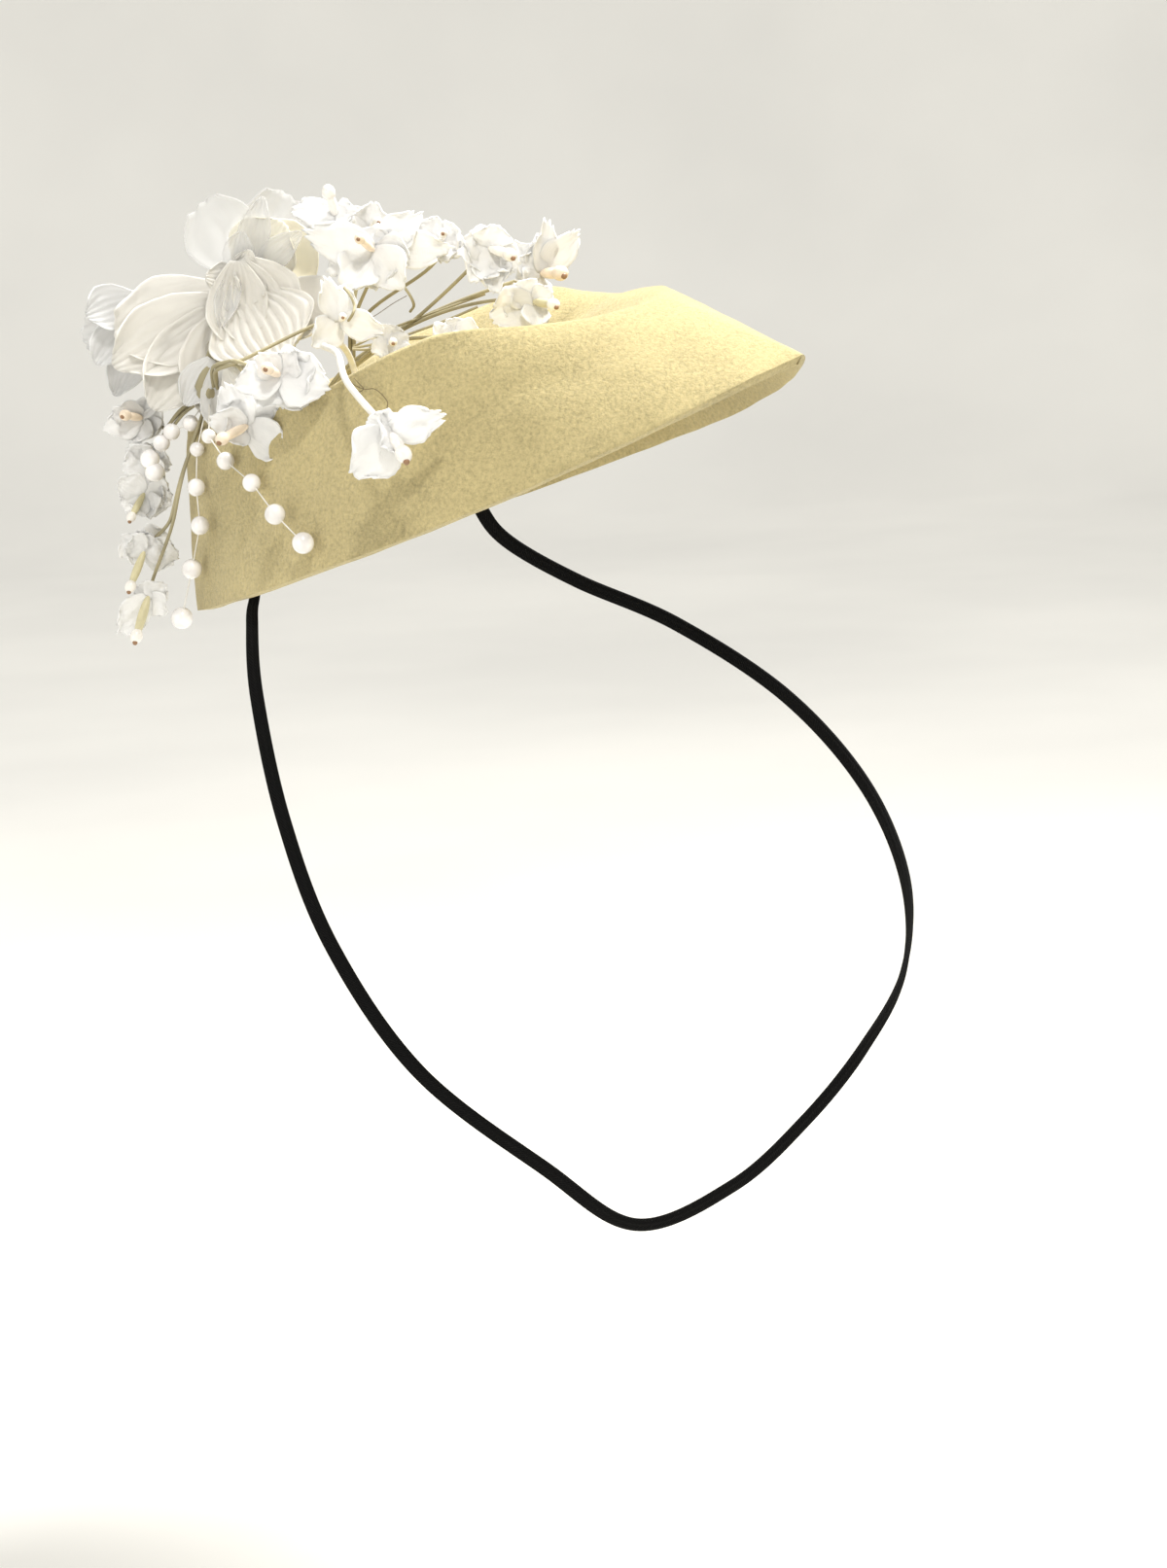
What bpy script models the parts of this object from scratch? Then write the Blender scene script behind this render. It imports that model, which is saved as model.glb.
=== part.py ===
"""Felt percher hat with cloth flowers, pearl strands and a black elastic loop, in metres.

Z is up. The low flowered front points to -Y and the raised back tip to +Y. The origin is the
centre of the rim opening, where the hat sits.
"""

import math

import bmesh
import bpy
from mathutils import Matrix, Vector
from mathutils.geometry import interpolate_bezier

# Felt body
RIM_FRONT = 0.0892
RIM_BACK = 0.0930
RIM_HALF_WIDTH = 0.0591
RIDGE_FRONT = 0.0740
RIDGE_BACK = 0.0580
RIDGE_HALF_WIDTH = 0.0470
CROWN_HEIGHT = 0.0430
DENT_HEIGHT = 0.0220
FELT_THICKNESS = 0.0026
RIM_SAG = 0.0022
TIP_RISE = 0.0065
BACK_TILT = math.radians(17.2)
SIDE_LEAN = math.radians(5.3)
FELT_SEGMENTS = 52

# Cloth flowers
CLOTH_THICKNESS = 0.0010
STAMEN_LENGTH = 0.0050
STAMEN_RADIUS = 0.0015

# Wires, pearls and elastic
WIRE_RADIUS = 0.0006
WHITE_STEM_RADIUS = 0.0010
THREAD_RADIUS = 0.0005
ELASTIC_DIAMETER = 0.0034
PIECE_GAP = 0.0005

# Ridge height, as shares of CROWN_HEIGHT, along the ridge from the front to the back
RIDGE_PROFILE = (
    # along, near side, far side
    (0.00, 1.00, 1.00),
    (0.25, 0.90, 1.09),
    (0.50, 0.87, 1.10),
    (0.75, 0.92, 0.85),
    (1.00, 0.71, 0.71),
)

# Rings of the wall: share of the way in from the rim to the ridge, and share of the ridge height
WALL_RINGS = ((0.00, 0.00), (0.24, 0.28), (0.48, 0.55), (0.70, 0.80), (0.86, 0.94), (1.00, 1.00))

# Rings of the top: share of the way in from the ridge to the centre, and share of the dent depth
TOP_RINGS = ((0.14, 0.05), (0.36, 0.34), (0.64, 0.76), (1.00, 1.00))
DENT_CENTRE = -0.09

# Small blossoms. The place is in shares of the half width at its height, the rim back length and
# the crown height, in the tilted hat. Turn and rise say which way the flower faces, in degrees.
BLOSSOMS = (
    # name, across, along, up, turn, rise, spin, radius, petals, cup
    ("top_large", 0.113, -0.12, 1.53, 17, 9, 10, 0.0130, 5, 0.25),
    ("top_small", 0.050, -0.19, 1.83, 50, 54, 30, 0.0080, 4, 0.45),
    ("top_back", -0.239, -0.18, 1.74, 93, 52, 0, 0.0090, 4, 0.35),
    ("mid_first", -0.189, -0.01, 1.50, 54, 45, 20, 0.0100, 5, 0.40),
    ("mid_second", -0.088, 0.17, 1.32, 75, 15, 0, 0.0115, 5, 0.35),
    ("rear_upper", -0.453, 0.20, 1.16, 87, -5, 45, 0.0110, 4, 0.30),
    ("rear_lower", -0.050, 0.25, 0.95, 67, -20, 20, 0.0110, 4, 0.35),
    ("inner_first", 0.126, -0.12, 1.00, 50, 23, 10, 0.0080, 4, 0.35),
    ("inner_second", 0.025, 0.04, 0.96, 51, 8, 40, 0.0080, 4, 0.35),
    ("ridge_front", 1.144, -0.12, 1.07, 43, 24, 25, 0.0130, 4, 0.25),
    ("corner", 1.036, -0.28, 0.83, 0, -17, 0, 0.0105, 5, 0.30),
    ("hanging", 1.220, 0.22, 0.48, 57, -43, 35, 0.0110, 4, 0.35),
    ("bud_side", 0.516, -0.12, 1.26, 43, -21, 0, 0.0075, 4, 0.45),
    ("left_high", 0.742, -0.83, 1.20, -1, 12, 0, 0.0085, 4, 0.35),
    ("left_mid", 0.709, -0.85, 0.89, -15, 3, 20, 0.0070, 4, 0.35),
    ("left_low", 0.790, -0.88, 0.68, -1, 6, 45, 0.0070, 4, 0.35),
    ("left_fork", 0.811, -0.88, 0.43, -1, -35, 10, 0.0070, 4, 0.45),
    ("left_tip", 0.789, -0.91, 0.12, -4, -48, 10, 0.0075, 4, 0.50),
)

# The stalk of the bloom, placed like the blossoms: it stands on the felt and swells twice
STALK_FOOT = (0.562, -0.55, 0.975)
KNOT = (0.692, -0.54, 1.11)
HEART = (0.377, -0.45, 1.64)
STALK_RADIUS = 0.0016
KNOT_RADIUS = 0.0035
HEART_RADIUS = 0.0045

# Petals of the large bloom. Each leaves the heart for its tip; layer moves its root towards the
# side it faces.
BLOOM_PETALS = (
    # name, tip across, along, up, turn, rise, layer, width, cup, pleats
    ("left", (0.742, -0.76, 1.57), 34, 18, 0.5, 0.024, 0.30, 5),
    ("lower", (0.604, -0.77, 1.20), 25, 4, 0.0, 0.022, 0.25, 0),
    ("fan", (0.578, -0.33, 1.14), 38, 8, 1.2, 0.028, 0.12, 7),
    ("side", (0.352, -0.18, 1.24), 54, -6, -0.7, 0.017, 0.30, 3),
    ("back", (0.000, -0.31, 1.77), 45, 9, -0.2, 0.019, 0.30, 0),
    ("sheer_left", (0.189, -0.54, 2.18), 20, 11, 0.0, 0.019, 0.30, 2),
    ("sheer_top", (-0.176, -0.42, 2.08), 43, 4, -0.6, 0.018, 0.30, 2),
    ("outer", (0.566, -0.95, 1.68), 19, 6, -0.5, 0.017, 0.30, 0),
    ("far_low", (-0.251, -0.68, 1.22), 215, 15, 0.5, 0.022, 0.25, 3),
    ("far_high", (-0.314, -0.66, 1.75), 205, 30, 0.2, 0.020, 0.30, 2),
)

# Wire sprays: what each hangs from, or its foot on the felt, its trunk and the blossoms it carries
SPRAYS = (
    ("spray_rear", "felt", ((0.143, -0.46, 0.785), (0.075, -0.36, 0.96), (-0.013, -0.25, 1.04)), 0.0016,
     ("rear_upper", "rear_lower", "mid_second", "inner_second", "inner_first")),
    ("spray_top", "felt", ((-0.047, -0.40, 0.71), (-0.049, -0.38, 0.90), (-0.050, -0.33, 1.13)), 0.0013,
     ("top_large", "mid_first", "top_small", "top_back")),
    ("spray_side", "knot", ((0.817, -0.44, 1.21), (0.880, -0.36, 1.20)), 0.0012,
     ("ridge_front", "corner", "bud_side")),
    ("spray_left", "knot", ((0.815, -0.64, 0.75), (0.809, -0.71, 0.54)), 0.0011,
     ("left_fork", "left_tip")),
    ("spray_drop", "knot", ((0.629, -0.68, 1.08), (0.604, -0.76, 1.02)), 0.0010,
     ("left_high", "left_mid", "left_low")),
)

# White stem over the near ridge, placed like the blossoms, down to its blossom
WHITE_STEM = ((0.104, -0.32, 0.639), (0.163, -0.27, 0.98), (0.377, -0.20, 1.11), (0.654, -0.14, 1.11),
              (0.893, -0.01, 1.02), (1.120, 0.10, 0.83))

# Pearl strands, placed like the blossoms: each pearl with its radius, down from the knot
STRANDS = (
    ("left", (
        (0.753, -0.61, 0.99, 0.0020), (0.826, -0.65, 0.98, 0.0021), (0.854, -0.68, 0.94, 0.0021),
        (0.878, -0.72, 0.88, 0.0024), (0.861, -0.72, 0.80, 0.0024))),
    ("middle", (
        (0.855, -0.56, 0.83, 0.0018), (0.873, -0.58, 0.63, 0.0022), (0.897, -0.58, 0.42, 0.0023),
        (0.836, -0.67, 0.21, 0.0025), (0.790, -0.77, -0.03, 0.0027))),
    ("right", (
        (0.900, -0.49, 0.87, 0.0018), (0.981, -0.41, 0.70, 0.0022), (1.032, -0.31, 0.53, 0.0022),
        (1.070, -0.23, 0.32, 0.0025), (1.056, -0.16, 0.12, 0.0026))),
)

# Elastic route in millimetres, from the near inner wall round to the far inner wall
ELASTIC_ROUTE = (
    (44.6, -44.8, -5.6),
    (46.6, -42.4, -18.6),
    (49.6, -41.3, -25.5),
    (59.1, -33.2, -42.2),
    (63.0, -24.0, -71.2),
    (63.9, -10.9, -100.4),
    (58.0, 8.3, -130.3),
    (42.5, 32.1, -155.0),
    (25.7, 45.9, -171.7),
    (9.3, 63.1, -164.3),
    (-6.3, 74.5, -150.7),
    (-20.9, 82.6, -135.4),
    (-42.0, 82.0, -121.0),
    (-66.0, 69.0, -104.0),
    (-84.0, 47.0, -84.0),
    (-90.0, 20.0, -63.0),
    (-82.0, -8.0, -44.0),
    (-66.0, -28.0, -31.0),
    (-53.0, -40.0, -19.5),
    (-46.9, -44.0, -10.1),
    (-43.5, -46.3, 2.5),
)

HAT = Matrix.Rotation(BACK_TILT, 4, "X") @ Matrix.Rotation(SIDE_LEAN, 4, "Y")


def ease(share):
    """Smooth step from 0 to 1."""
    share = min(1.0, max(0.0, share))
    return share * share * (3 - 2 * share)


def power(value, exponent):
    return math.copysign(abs(value) ** exponent, value)


def outline(turn, front, back, half_width, back_length_power, back_width_power):
    """A point (across, along) of a teardrop: blunt at the front, pointed at the back."""
    along, across = math.cos(turn), math.sin(turn)
    if along < 0:
        return half_width * power(across, 2 / 2.3), front * power(along, 2 / 2.3)
    return (
        half_width * power(across, 2 / back_width_power),
        back * power(along, 2 / back_length_power),
    )


def ridge_height(along, side):
    """Height of the ridge at a share of its length; side is 1 on the near side and 0 on the far."""
    for first, last in zip(RIDGE_PROFILE, RIDGE_PROFILE[1:]):
        if along <= last[0]:
            break
    blend = ease((along - first[0]) / (last[0] - first[0]))
    near = first[1] + (last[1] - first[1]) * blend
    far = first[2] + (last[2] - first[2]) * blend
    return CROWN_HEIGHT * (near * side + far * (1 - side))


def felt_point(turn, ring):
    """Where a vertex of the felt lies, in the untilted hat."""
    rim_x, rim_y = outline(turn, RIM_FRONT, RIM_BACK, RIM_HALF_WIDTH, 2.05, 1.16)
    ridge_x, ridge_y = outline(turn, RIDGE_FRONT, RIDGE_BACK, RIDGE_HALF_WIDTH, 2.0, 1.7)
    sag = RIM_SAG if rim_x > 0 else 0.3 * RIM_SAG
    rim_z = -sag * (rim_x / RIM_HALF_WIDTH) ** 2 + TIP_RISE * max(0.0, rim_y / RIM_BACK) ** 3
    side = ease(0.5 + 0.5 * ridge_x / RIDGE_HALF_WIDTH)
    height = ridge_height((ridge_y + RIDGE_FRONT) / (RIDGE_FRONT + RIDGE_BACK), side)
    if ring < len(WALL_RINGS):
        inward, rise = WALL_RINGS[ring]
        return Vector((
            rim_x + (ridge_x - rim_x) * inward,
            rim_y + (ridge_y - rim_y) * inward,
            rim_z + (height - rim_z) * rise,
        ))
    inward, fall = TOP_RINGS[ring - len(WALL_RINGS)]
    centre_y = DENT_CENTRE * RIM_FRONT
    return Vector((
        ridge_x * (1 - inward),
        ridge_y + (centre_y - ridge_y) * inward,
        height + (DENT_HEIGHT - height) * fall,
    ))


def polar_sheet(name, segments, rings, point):
    """A round sheet: rings of vertices about one centre, each put where point(turn, ring) says."""
    bm = bmesh.new()
    turn_of = bm.verts.layers.float.new("turn")
    ring_of = bm.verts.layers.int.new("ring")
    for vert in bmesh.ops.create_circle(bm, segments=segments, radius=1)["verts"]:
        vert[turn_of] = math.atan2(vert.co.y, vert.co.x)
    edges = list(bm.edges)
    for ring in range(1, rings):
        made = bmesh.ops.extrude_edge_only(bm, edges=edges)["geom"]
        fresh = {item for item in made if isinstance(item, bmesh.types.BMVert)}
        for vert in fresh:
            vert[ring_of] = ring
        edges = [
            item for item in made
            if isinstance(item, bmesh.types.BMEdge) and fresh.issuperset(item.verts)
        ]
    for vert in bm.verts:
        vert.co = point(vert[turn_of], vert[ring_of])
    bmesh.ops.pointmerge(bm, verts=list(fresh), merge_co=point(0.0, rings - 1))
    bmesh.ops.recalc_face_normals(bm, faces=bm.faces)
    if sum(face.normal.z * face.calc_area() for face in bm.faces) < 0:
        bmesh.ops.reverse_faces(bm, faces=bm.faces)
    mesh = bpy.data.meshes.new(name)
    bm.to_mesh(mesh)
    bm.free()
    return mesh


def material(name, colour, roughness):
    made = bpy.data.materials.new(name)
    made.use_nodes = True
    shader = made.node_tree.nodes["Principled BSDF"]
    shader.inputs["Base Color"].default_value = (*colour, 1)
    shader.inputs["Roughness"].default_value = roughness
    return made


def add(name, data, look, place=Matrix.Identity(4)):
    """Puts a node in the hat's collection, with its own colour."""
    made = bpy.data.objects.new(name, data)
    made.matrix_world = place
    hat_collection.objects.link(made)
    data.materials.append(material(name, *look))
    if isinstance(data, bpy.types.Mesh):
        data.shade_smooth()
    return made


def thicken(piece, thickness, offset):
    solid = piece.modifiers.new("Thickness", "SOLIDIFY")
    solid.thickness = thickness
    solid.offset = offset
    solid.use_even_offset = True


def clear_scene():
    for item in list(bpy.data.objects):
        bpy.data.objects.remove(item)


def half_width_at(up):
    """Half width of the hat at a share of the crown height, from the rim's to the ridge's."""
    return RIM_HALF_WIDTH + (RIDGE_HALF_WIDTH - RIM_HALF_WIDTH) * min(1.0, max(0.0, up))


def in_hat(across, along, up):
    """A place given in shares, in the untilted hat."""
    return Vector((across * half_width_at(up), along * RIM_BACK, up * CROWN_HEIGHT))


def facing(turn, rise):
    """The direction that a turn and a rise in degrees give."""
    turn, rise = math.radians(turn), math.radians(rise)
    return Vector((
        math.cos(turn) * math.cos(rise), math.sin(turn) * math.cos(rise), math.sin(rise)
    ))


def stood(origin, up, along):
    """Matrix of a piece at the origin whose Z is up and whose Y leans to along."""
    y = along.normalized()
    x = y.cross(up).normalized()
    z = x.cross(y)
    return Matrix.Translation(origin) @ Matrix((x, y, z)).transposed().to_4x4()


def union(piece, others):
    """Joins closed meshes to a piece with Booleans; the joined ones become hidden helpers."""
    for other in others:
        join = piece.modifiers.new("Join " + other.name, "BOOLEAN")
        join.operation = "UNION"
        join.solver = "MANIFOLD"
        join.object = other


def helper(name, mesh, place):
    """A closed mesh that a Boolean joins to a piece."""
    made = bpy.data.objects.new(name, mesh)
    made.matrix_world = place
    made.display_type = "WIRE"
    made.hide_render = True
    helper_collection.objects.link(made)
    return made


def tube(name, points, radii, sides_step):
    """A round tube along points, each with its own radius."""
    curve = bpy.data.curves.new(name, "CURVE")
    curve.dimensions = "3D"
    curve.bevel_depth = 1.0
    curve.bevel_resolution = sides_step
    curve.use_fill_caps = True
    spline = curve.splines.new("POLY")
    spline.points.add(len(points) - 1)
    for spot, point, radius in zip(spline.points, points, radii):
        spot.co = (*point, 1)
        spot.radius = radius
    return curve


def tube_mesh(name, points, radii, sides_step):
    """The same tube as a closed mesh, for a Boolean."""
    guide = bpy.data.objects.new(name + "_guide", tube(name, points, radii, sides_step))
    helper_collection.objects.link(guide)
    bpy.context.view_layer.update()
    mesh = bpy.data.meshes.new_from_object(guide.evaluated_get(bpy.context.evaluated_depsgraph_get()))
    bpy.data.objects.remove(guide)
    bm = bmesh.new()
    bm.from_mesh(mesh)
    bmesh.ops.remove_doubles(bm, verts=bm.verts, dist=1e-6)
    bmesh.ops.recalc_face_normals(bm, faces=bm.faces)
    bm.to_mesh(mesh)
    bm.free()
    return mesh


def smooth_route(points, step):
    """Points every step metres or so along a smooth curve through the given ones."""
    ends = [points[0], *points, points[-1]]
    route = [points[0]]
    for before, first, last, after in zip(ends, ends[1:], ends[2:], ends[3:]):
        reach = (last - first).length
        count = max(2, round(reach / step) + 1)
        route += interpolate_bezier(
            first, first + (last - before) / 6, last - (after - first) / 6, last, count
        )[1:]
    return route


def blossom(row):
    """A small flower: one lobed, cupped sheet of petals fused with its stamen."""
    name, across, along, up, turn, rise, spin, radius, petals, cup = row

    def point(angle, ring):
        reach = (1.0, 0.62, 0.0)[ring]
        lobe = 0.42 + 0.58 * abs(math.cos(petals * angle / 2)) ** 0.5
        share = reach * (1 + (lobe - 1) * reach)
        ruffle = 0.10 * math.sin(3 * angle + math.radians(turn + 4 * spin)) * reach
        return Vector((
            radius * share * math.cos(angle),
            radius * share * math.sin(angle),
            radius * (cup * share ** 2 + ruffle),
        ))

    axis = facing(turn, rise)
    upward = Vector((0, 0, 1)) if abs(axis.z) < 0.9 else Vector((0, 1, 0))
    place = HAT @ stood(in_hat(across, along, up), axis, upward)
    place = place @ Matrix.Rotation(math.radians(spin), 4, "Z")
    sheet = polar_sheet("blossom_" + name, 4 * petals, 3, point)
    flower = add("blossom_" + name, sheet, CLOTH_LOOK, place)
    thicken(flower, CLOTH_THICKNESS, 0)
    stamen = bpy.data.meshes.new("stamen_" + name)
    bm = bmesh.new()
    bmesh.ops.create_uvsphere(bm, u_segments=6, v_segments=4, radius=STAMEN_RADIUS)
    bmesh.ops.scale(bm, verts=bm.verts, vec=(1, 1, STAMEN_LENGTH / (2 * STAMEN_RADIUS)))
    bm.to_mesh(stamen)
    bm.free()
    at = place @ Matrix.Translation((0, 0, STAMEN_LENGTH / 2 - CLOTH_THICKNESS / 4))
    union(flower, [helper("stamen_" + name, stamen, at)])


def hung_from(centre, radius, target, wire_radius):
    """The start of a wire that leaves a round piece for a target, a gap off its surface."""
    return centre + (target - centre).normalized() * (radius + wire_radius + PIECE_GAP)


def bloom_petal(row):
    """One large petal: a rounded sheet, cupped and pleated, from the heart to its tip."""
    name, tip, turn, rise, layer, width, cup, pleats = row
    heart, tip, front = in_hat(*HEART), in_hat(*tip), facing(turn, rise)
    way = (tip - heart).normalized() + front * layer
    root = hung_from(heart, HEART_RADIUS, heart + way, 0)
    length = (tip - root).length
    bm = bmesh.new()
    bmesh.ops.create_grid(bm, x_segments=6, y_segments=6, size=1)
    for vert in bm.verts:
        side, reach = vert.co.x, (vert.co.y + 1) / 2
        half = width / 2 * math.sin(math.pi * (0.03 + 0.83 * reach)) ** 0.8
        vert.co = (
            side * half,
            length * (reach - 0.12 * side ** 2 * reach),
            cup * length * (2 * reach * (reach - 1) + 0.4 * side ** 2 * reach)
            + 0.03 * width * math.cos(pleats * math.pi * side) * reach,
        )
    mesh = bpy.data.meshes.new("bloom_" + name)
    bm.to_mesh(mesh)
    bm.free()
    petal = add("bloom_" + name, mesh, CLOTH_LOOK, HAT @ stood(root, front, tip - root))
    thicken(petal, CLOTH_THICKNESS, 0)


def behind(name):
    """Where a wire ends behind a blossom, and which way the blossom faces."""
    row = next(row for row in BLOSSOMS if row[0] == name)
    axis = facing(row[4], row[5])
    return in_hat(*row[1:4]) - axis * (CLOTH_THICKNESS / 2 + PIECE_GAP), axis


def spray(row):
    """Wires that leave one trunk and end behind their blossoms, fused with it."""
    name, holder, trunk, radius, carried = row
    points = [in_hat(*place) for place in trunk]
    if holder == "knot":
        points.insert(0, hung_from(in_hat(*KNOT), KNOT_RADIUS, points[0], 0))
    points = smooth_route(points, 4 * radius)
    piece = add(name, tube_mesh(name, points, [radius] * len(points), 1), WIRE_LOOK, HAT)
    end = points[-1]
    lead = (end - points[-2]).normalized()
    side = lead.cross(Vector((0, 0, 1))).normalized()
    wires = []
    for rank, target in enumerate(carried):
        stop, axis = behind(target)
        start = end - lead * radius * (0.8 + 0.35 * rank) + side * radius * 0.4 * (rank - (len(carried) - 1) / 2)
        reach = (stop - start).length / 3
        route = interpolate_bezier(start, start + lead * reach, stop - axis * reach, stop, 8)
        mesh = tube_mesh(f"{name}_{rank}", route, [WIRE_RADIUS] * len(route), 0)
        wires.append(helper(f"{name}_{rank}", mesh, HAT))
    union(piece, wires)


def white_stem():
    """The thick white stem that comes over the near ridge and ends behind its blossom."""
    stop, axis = behind("hanging")
    stop -= axis * WHITE_STEM_RADIUS
    points = smooth_route([in_hat(*place) for place in WHITE_STEM] + [stop], 3 * WHITE_STEM_RADIUS)
    stem = tube("spray_white_stem", points, [WHITE_STEM_RADIUS] * len(points), 1)
    add("spray_white_stem", stem, CLOTH_LOOK, HAT)


def beaded(name, start, beads, neck, look):
    """Beads on a thread, or bulbs on a stalk, as one tube that swells at each."""
    points, radii = [start], [neck]
    for centre, radius in beads:
        lead = (centre - points[-1]).normalized()
        for share in (-0.98, -0.64, 0.0, 0.64, 0.98):
            points.append(centre + lead * radius * share)
            radii.append(max(neck, radius * math.sqrt(1 - share ** 2)))
    add(name, tube(name, points, radii, 2), look, HAT)


def pearl_strand(row):
    name, pearls = row
    beads = [(in_hat(*pearl[:3]), pearl[3]) for pearl in pearls]
    start = hung_from(in_hat(*KNOT), KNOT_RADIUS, beads[0][0], 0)
    beaded("pearl_strand_" + name, start, beads, THREAD_RADIUS, PEARL_LOOK)


def bloom_stalk():
    bulbs = ((in_hat(*KNOT), KNOT_RADIUS), (in_hat(*HEART), HEART_RADIUS))
    beaded("bloom_stalk", in_hat(*STALK_FOOT), bulbs, STALK_RADIUS, WIRE_LOOK)


def elastic():
    """The flat elastic as a round cord, one loop from inner wall to inner wall."""
    route = smooth_route([Vector(point) / 1000 for point in ELASTIC_ROUTE], 3 * ELASTIC_DIAMETER)
    add("elastic_cord", tube("elastic_cord", route, [ELASTIC_DIAMETER / 2] * len(route), 2), ELASTIC_LOOK)


def main():
    rings = len(WALL_RINGS) + len(TOP_RINGS)
    felt = add("felt_body", polar_sheet("felt_body", FELT_SEGMENTS, rings, felt_point), FELT_LOOK, HAT)
    thicken(felt, FELT_THICKNESS, -1)
    for row in BLOSSOMS:
        blossom(row)
    for row in BLOOM_PETALS:
        bloom_petal(row)
    bloom_stalk()
    for row in SPRAYS:
        spray(row)
    white_stem()
    for row in STRANDS:
        pearl_strand(row)
    elastic()


FELT_LOOK = ((0.80, 0.70, 0.42), 0.95)
CLOTH_LOOK = ((0.88, 0.86, 0.80), 0.85)
WIRE_LOOK = ((0.38, 0.34, 0.20), 0.80)
PEARL_LOOK = ((0.86, 0.82, 0.80), 0.25)
ELASTIC_LOOK = ((0.01, 0.01, 0.01), 0.80)

clear_scene()
hat_collection = bpy.data.collections.new("Felt percher hat")
helper_collection = bpy.data.collections.new("Joined helpers")
bpy.context.scene.collection.children.link(hat_collection)
bpy.context.scene.collection.children.link(helper_collection)
main()
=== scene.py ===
"""Looks of the felt percher hat: felt body, cloth flowers, wires, pearl strands and elastic."""

import math

import bmesh
import bpy
from mathutils import Matrix, Vector, noise
from mathutils.geometry import interpolate_bezier


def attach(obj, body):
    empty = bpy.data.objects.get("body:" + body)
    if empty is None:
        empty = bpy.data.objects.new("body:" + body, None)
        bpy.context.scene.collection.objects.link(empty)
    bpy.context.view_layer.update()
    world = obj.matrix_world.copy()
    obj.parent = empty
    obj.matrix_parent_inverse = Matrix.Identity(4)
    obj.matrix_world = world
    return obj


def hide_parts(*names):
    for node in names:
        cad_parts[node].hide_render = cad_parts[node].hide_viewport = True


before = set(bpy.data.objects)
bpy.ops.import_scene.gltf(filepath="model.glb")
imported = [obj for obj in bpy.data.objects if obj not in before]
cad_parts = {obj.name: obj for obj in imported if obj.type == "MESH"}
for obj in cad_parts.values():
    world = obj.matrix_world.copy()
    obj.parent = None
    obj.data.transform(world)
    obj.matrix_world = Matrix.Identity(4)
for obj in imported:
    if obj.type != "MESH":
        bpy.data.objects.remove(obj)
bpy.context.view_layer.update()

bl_info = {
    "name": "Felt percher hat",
    "version": (1, 0, 0),
    "blender": (4, 5, 0),
    "location": "View3D > Sidebar > Hat",
    "description": "Builds a felt percher hat with cloth flowers, pearl strands and an elastic loop",
    "category": "Object",
}

MILLIMETRE = 0.001

# Stage: a round floor that bends up into a wall
FLOOR_HEIGHT = -0.26
FLOOR_RADIUS = 2.2
FLOOR_RINGS = (0.02, 0.2, 0.4, 0.6, 0.8, 1.0)
FLOOR_SEGMENTS = 96
WALL_BEND = 0.6
WALL_HEIGHT = 2.4
PAPER_COLOUR = (0.58, 0.568, 0.53)
PAPER_GLOW = 0.34
SKY_GLOW = 0.52

# Camera
CAMERA_PLACE = (0.719226, 0.541030, 0.090769)
CAMERA_AZIMUTH = math.radians(126.0)
CAMERA_PITCH = math.radians(10.3)
CAMERA_ROLL = math.radians(3.0)
CAMERA_LENS = 85.0

LIGHTS = (
    # name, way from the hat (right, up, towards the camera), distance, power, size, colour
    ("Key", (0.10, 0.82, 0.58), 0.9, 3.3, 0.09, (1.0, 0.98, 0.95)),
    ("Back", (0.40, 1.00, -0.28), 0.9, 17.0, 0.30, (1.0, 0.99, 0.97)),
    ("Fill", (-0.70, 0.10, 0.70), 1.2, 2.4, 0.8, (1.0, 0.99, 0.97)),
)

RIGHT = Vector((math.cos(CAMERA_AZIMUTH), math.sin(CAMERA_AZIMUTH), 0))
UP = Vector((0, 0, 1))
TOWARD = Vector((math.sin(CAMERA_AZIMUTH), -math.cos(CAMERA_AZIMUTH), 0))

# Felt body, the same sizes as the solid
RIM_FRONT = 0.0892
RIM_BACK = 0.0930
RIM_HALF_WIDTH = 0.0591
RIDGE_FRONT = 0.0740
RIDGE_BACK = 0.0580
RIDGE_HALF_WIDTH = 0.0470
CROWN_HEIGHT = 0.0430
DENT_HEIGHT = 0.0220
DENT_CENTRE = -0.09
RIM_SAG = 0.0022
TIP_RISE = 0.0065
FRONT_POWER = 2.3
RIM_POWERS = (2.05, 1.16)
RIDGE_POWERS = (2.0, 1.7)
BACK_TILT = math.radians(17.2)
SIDE_LEAN = math.radians(5.3)
HAT = Matrix.Rotation(BACK_TILT, 4, "X") @ Matrix.Rotation(SIDE_LEAN, 4, "Y")

# How finely the felt is drawn, how uneven its face is and how round its cut edge is
FELT_SEGMENTS = 208
FELT_STEPS = 6
LUMP_DEPTH = 0.0007
LUMP_SCALE = 45
CUT_EDGE = 0.0006

# Ridge height in shares of the crown height, from the front to the back
RIDGE_PROFILE = (
    # along, near side, far side
    (0.00, 1.00, 1.00),
    (0.25, 0.90, 1.09),
    (0.50, 0.87, 1.10),
    (0.75, 0.92, 0.85),
    (1.00, 0.71, 0.71),
)

# Rings of the wall: share of the way in from the rim to the ridge, and share of the ridge height
WALL_RINGS = ((0.00, 0.00), (0.24, 0.28), (0.48, 0.55), (0.70, 0.80), (0.86, 0.94), (1.00, 1.00))

# Rings of the top: share of the way in from the ridge to the dent, and share of the dent's depth
TOP_RINGS = ((0.14, 0.05), (0.36, 0.34), (0.64, 0.76), (1.00, 1.00))

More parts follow.
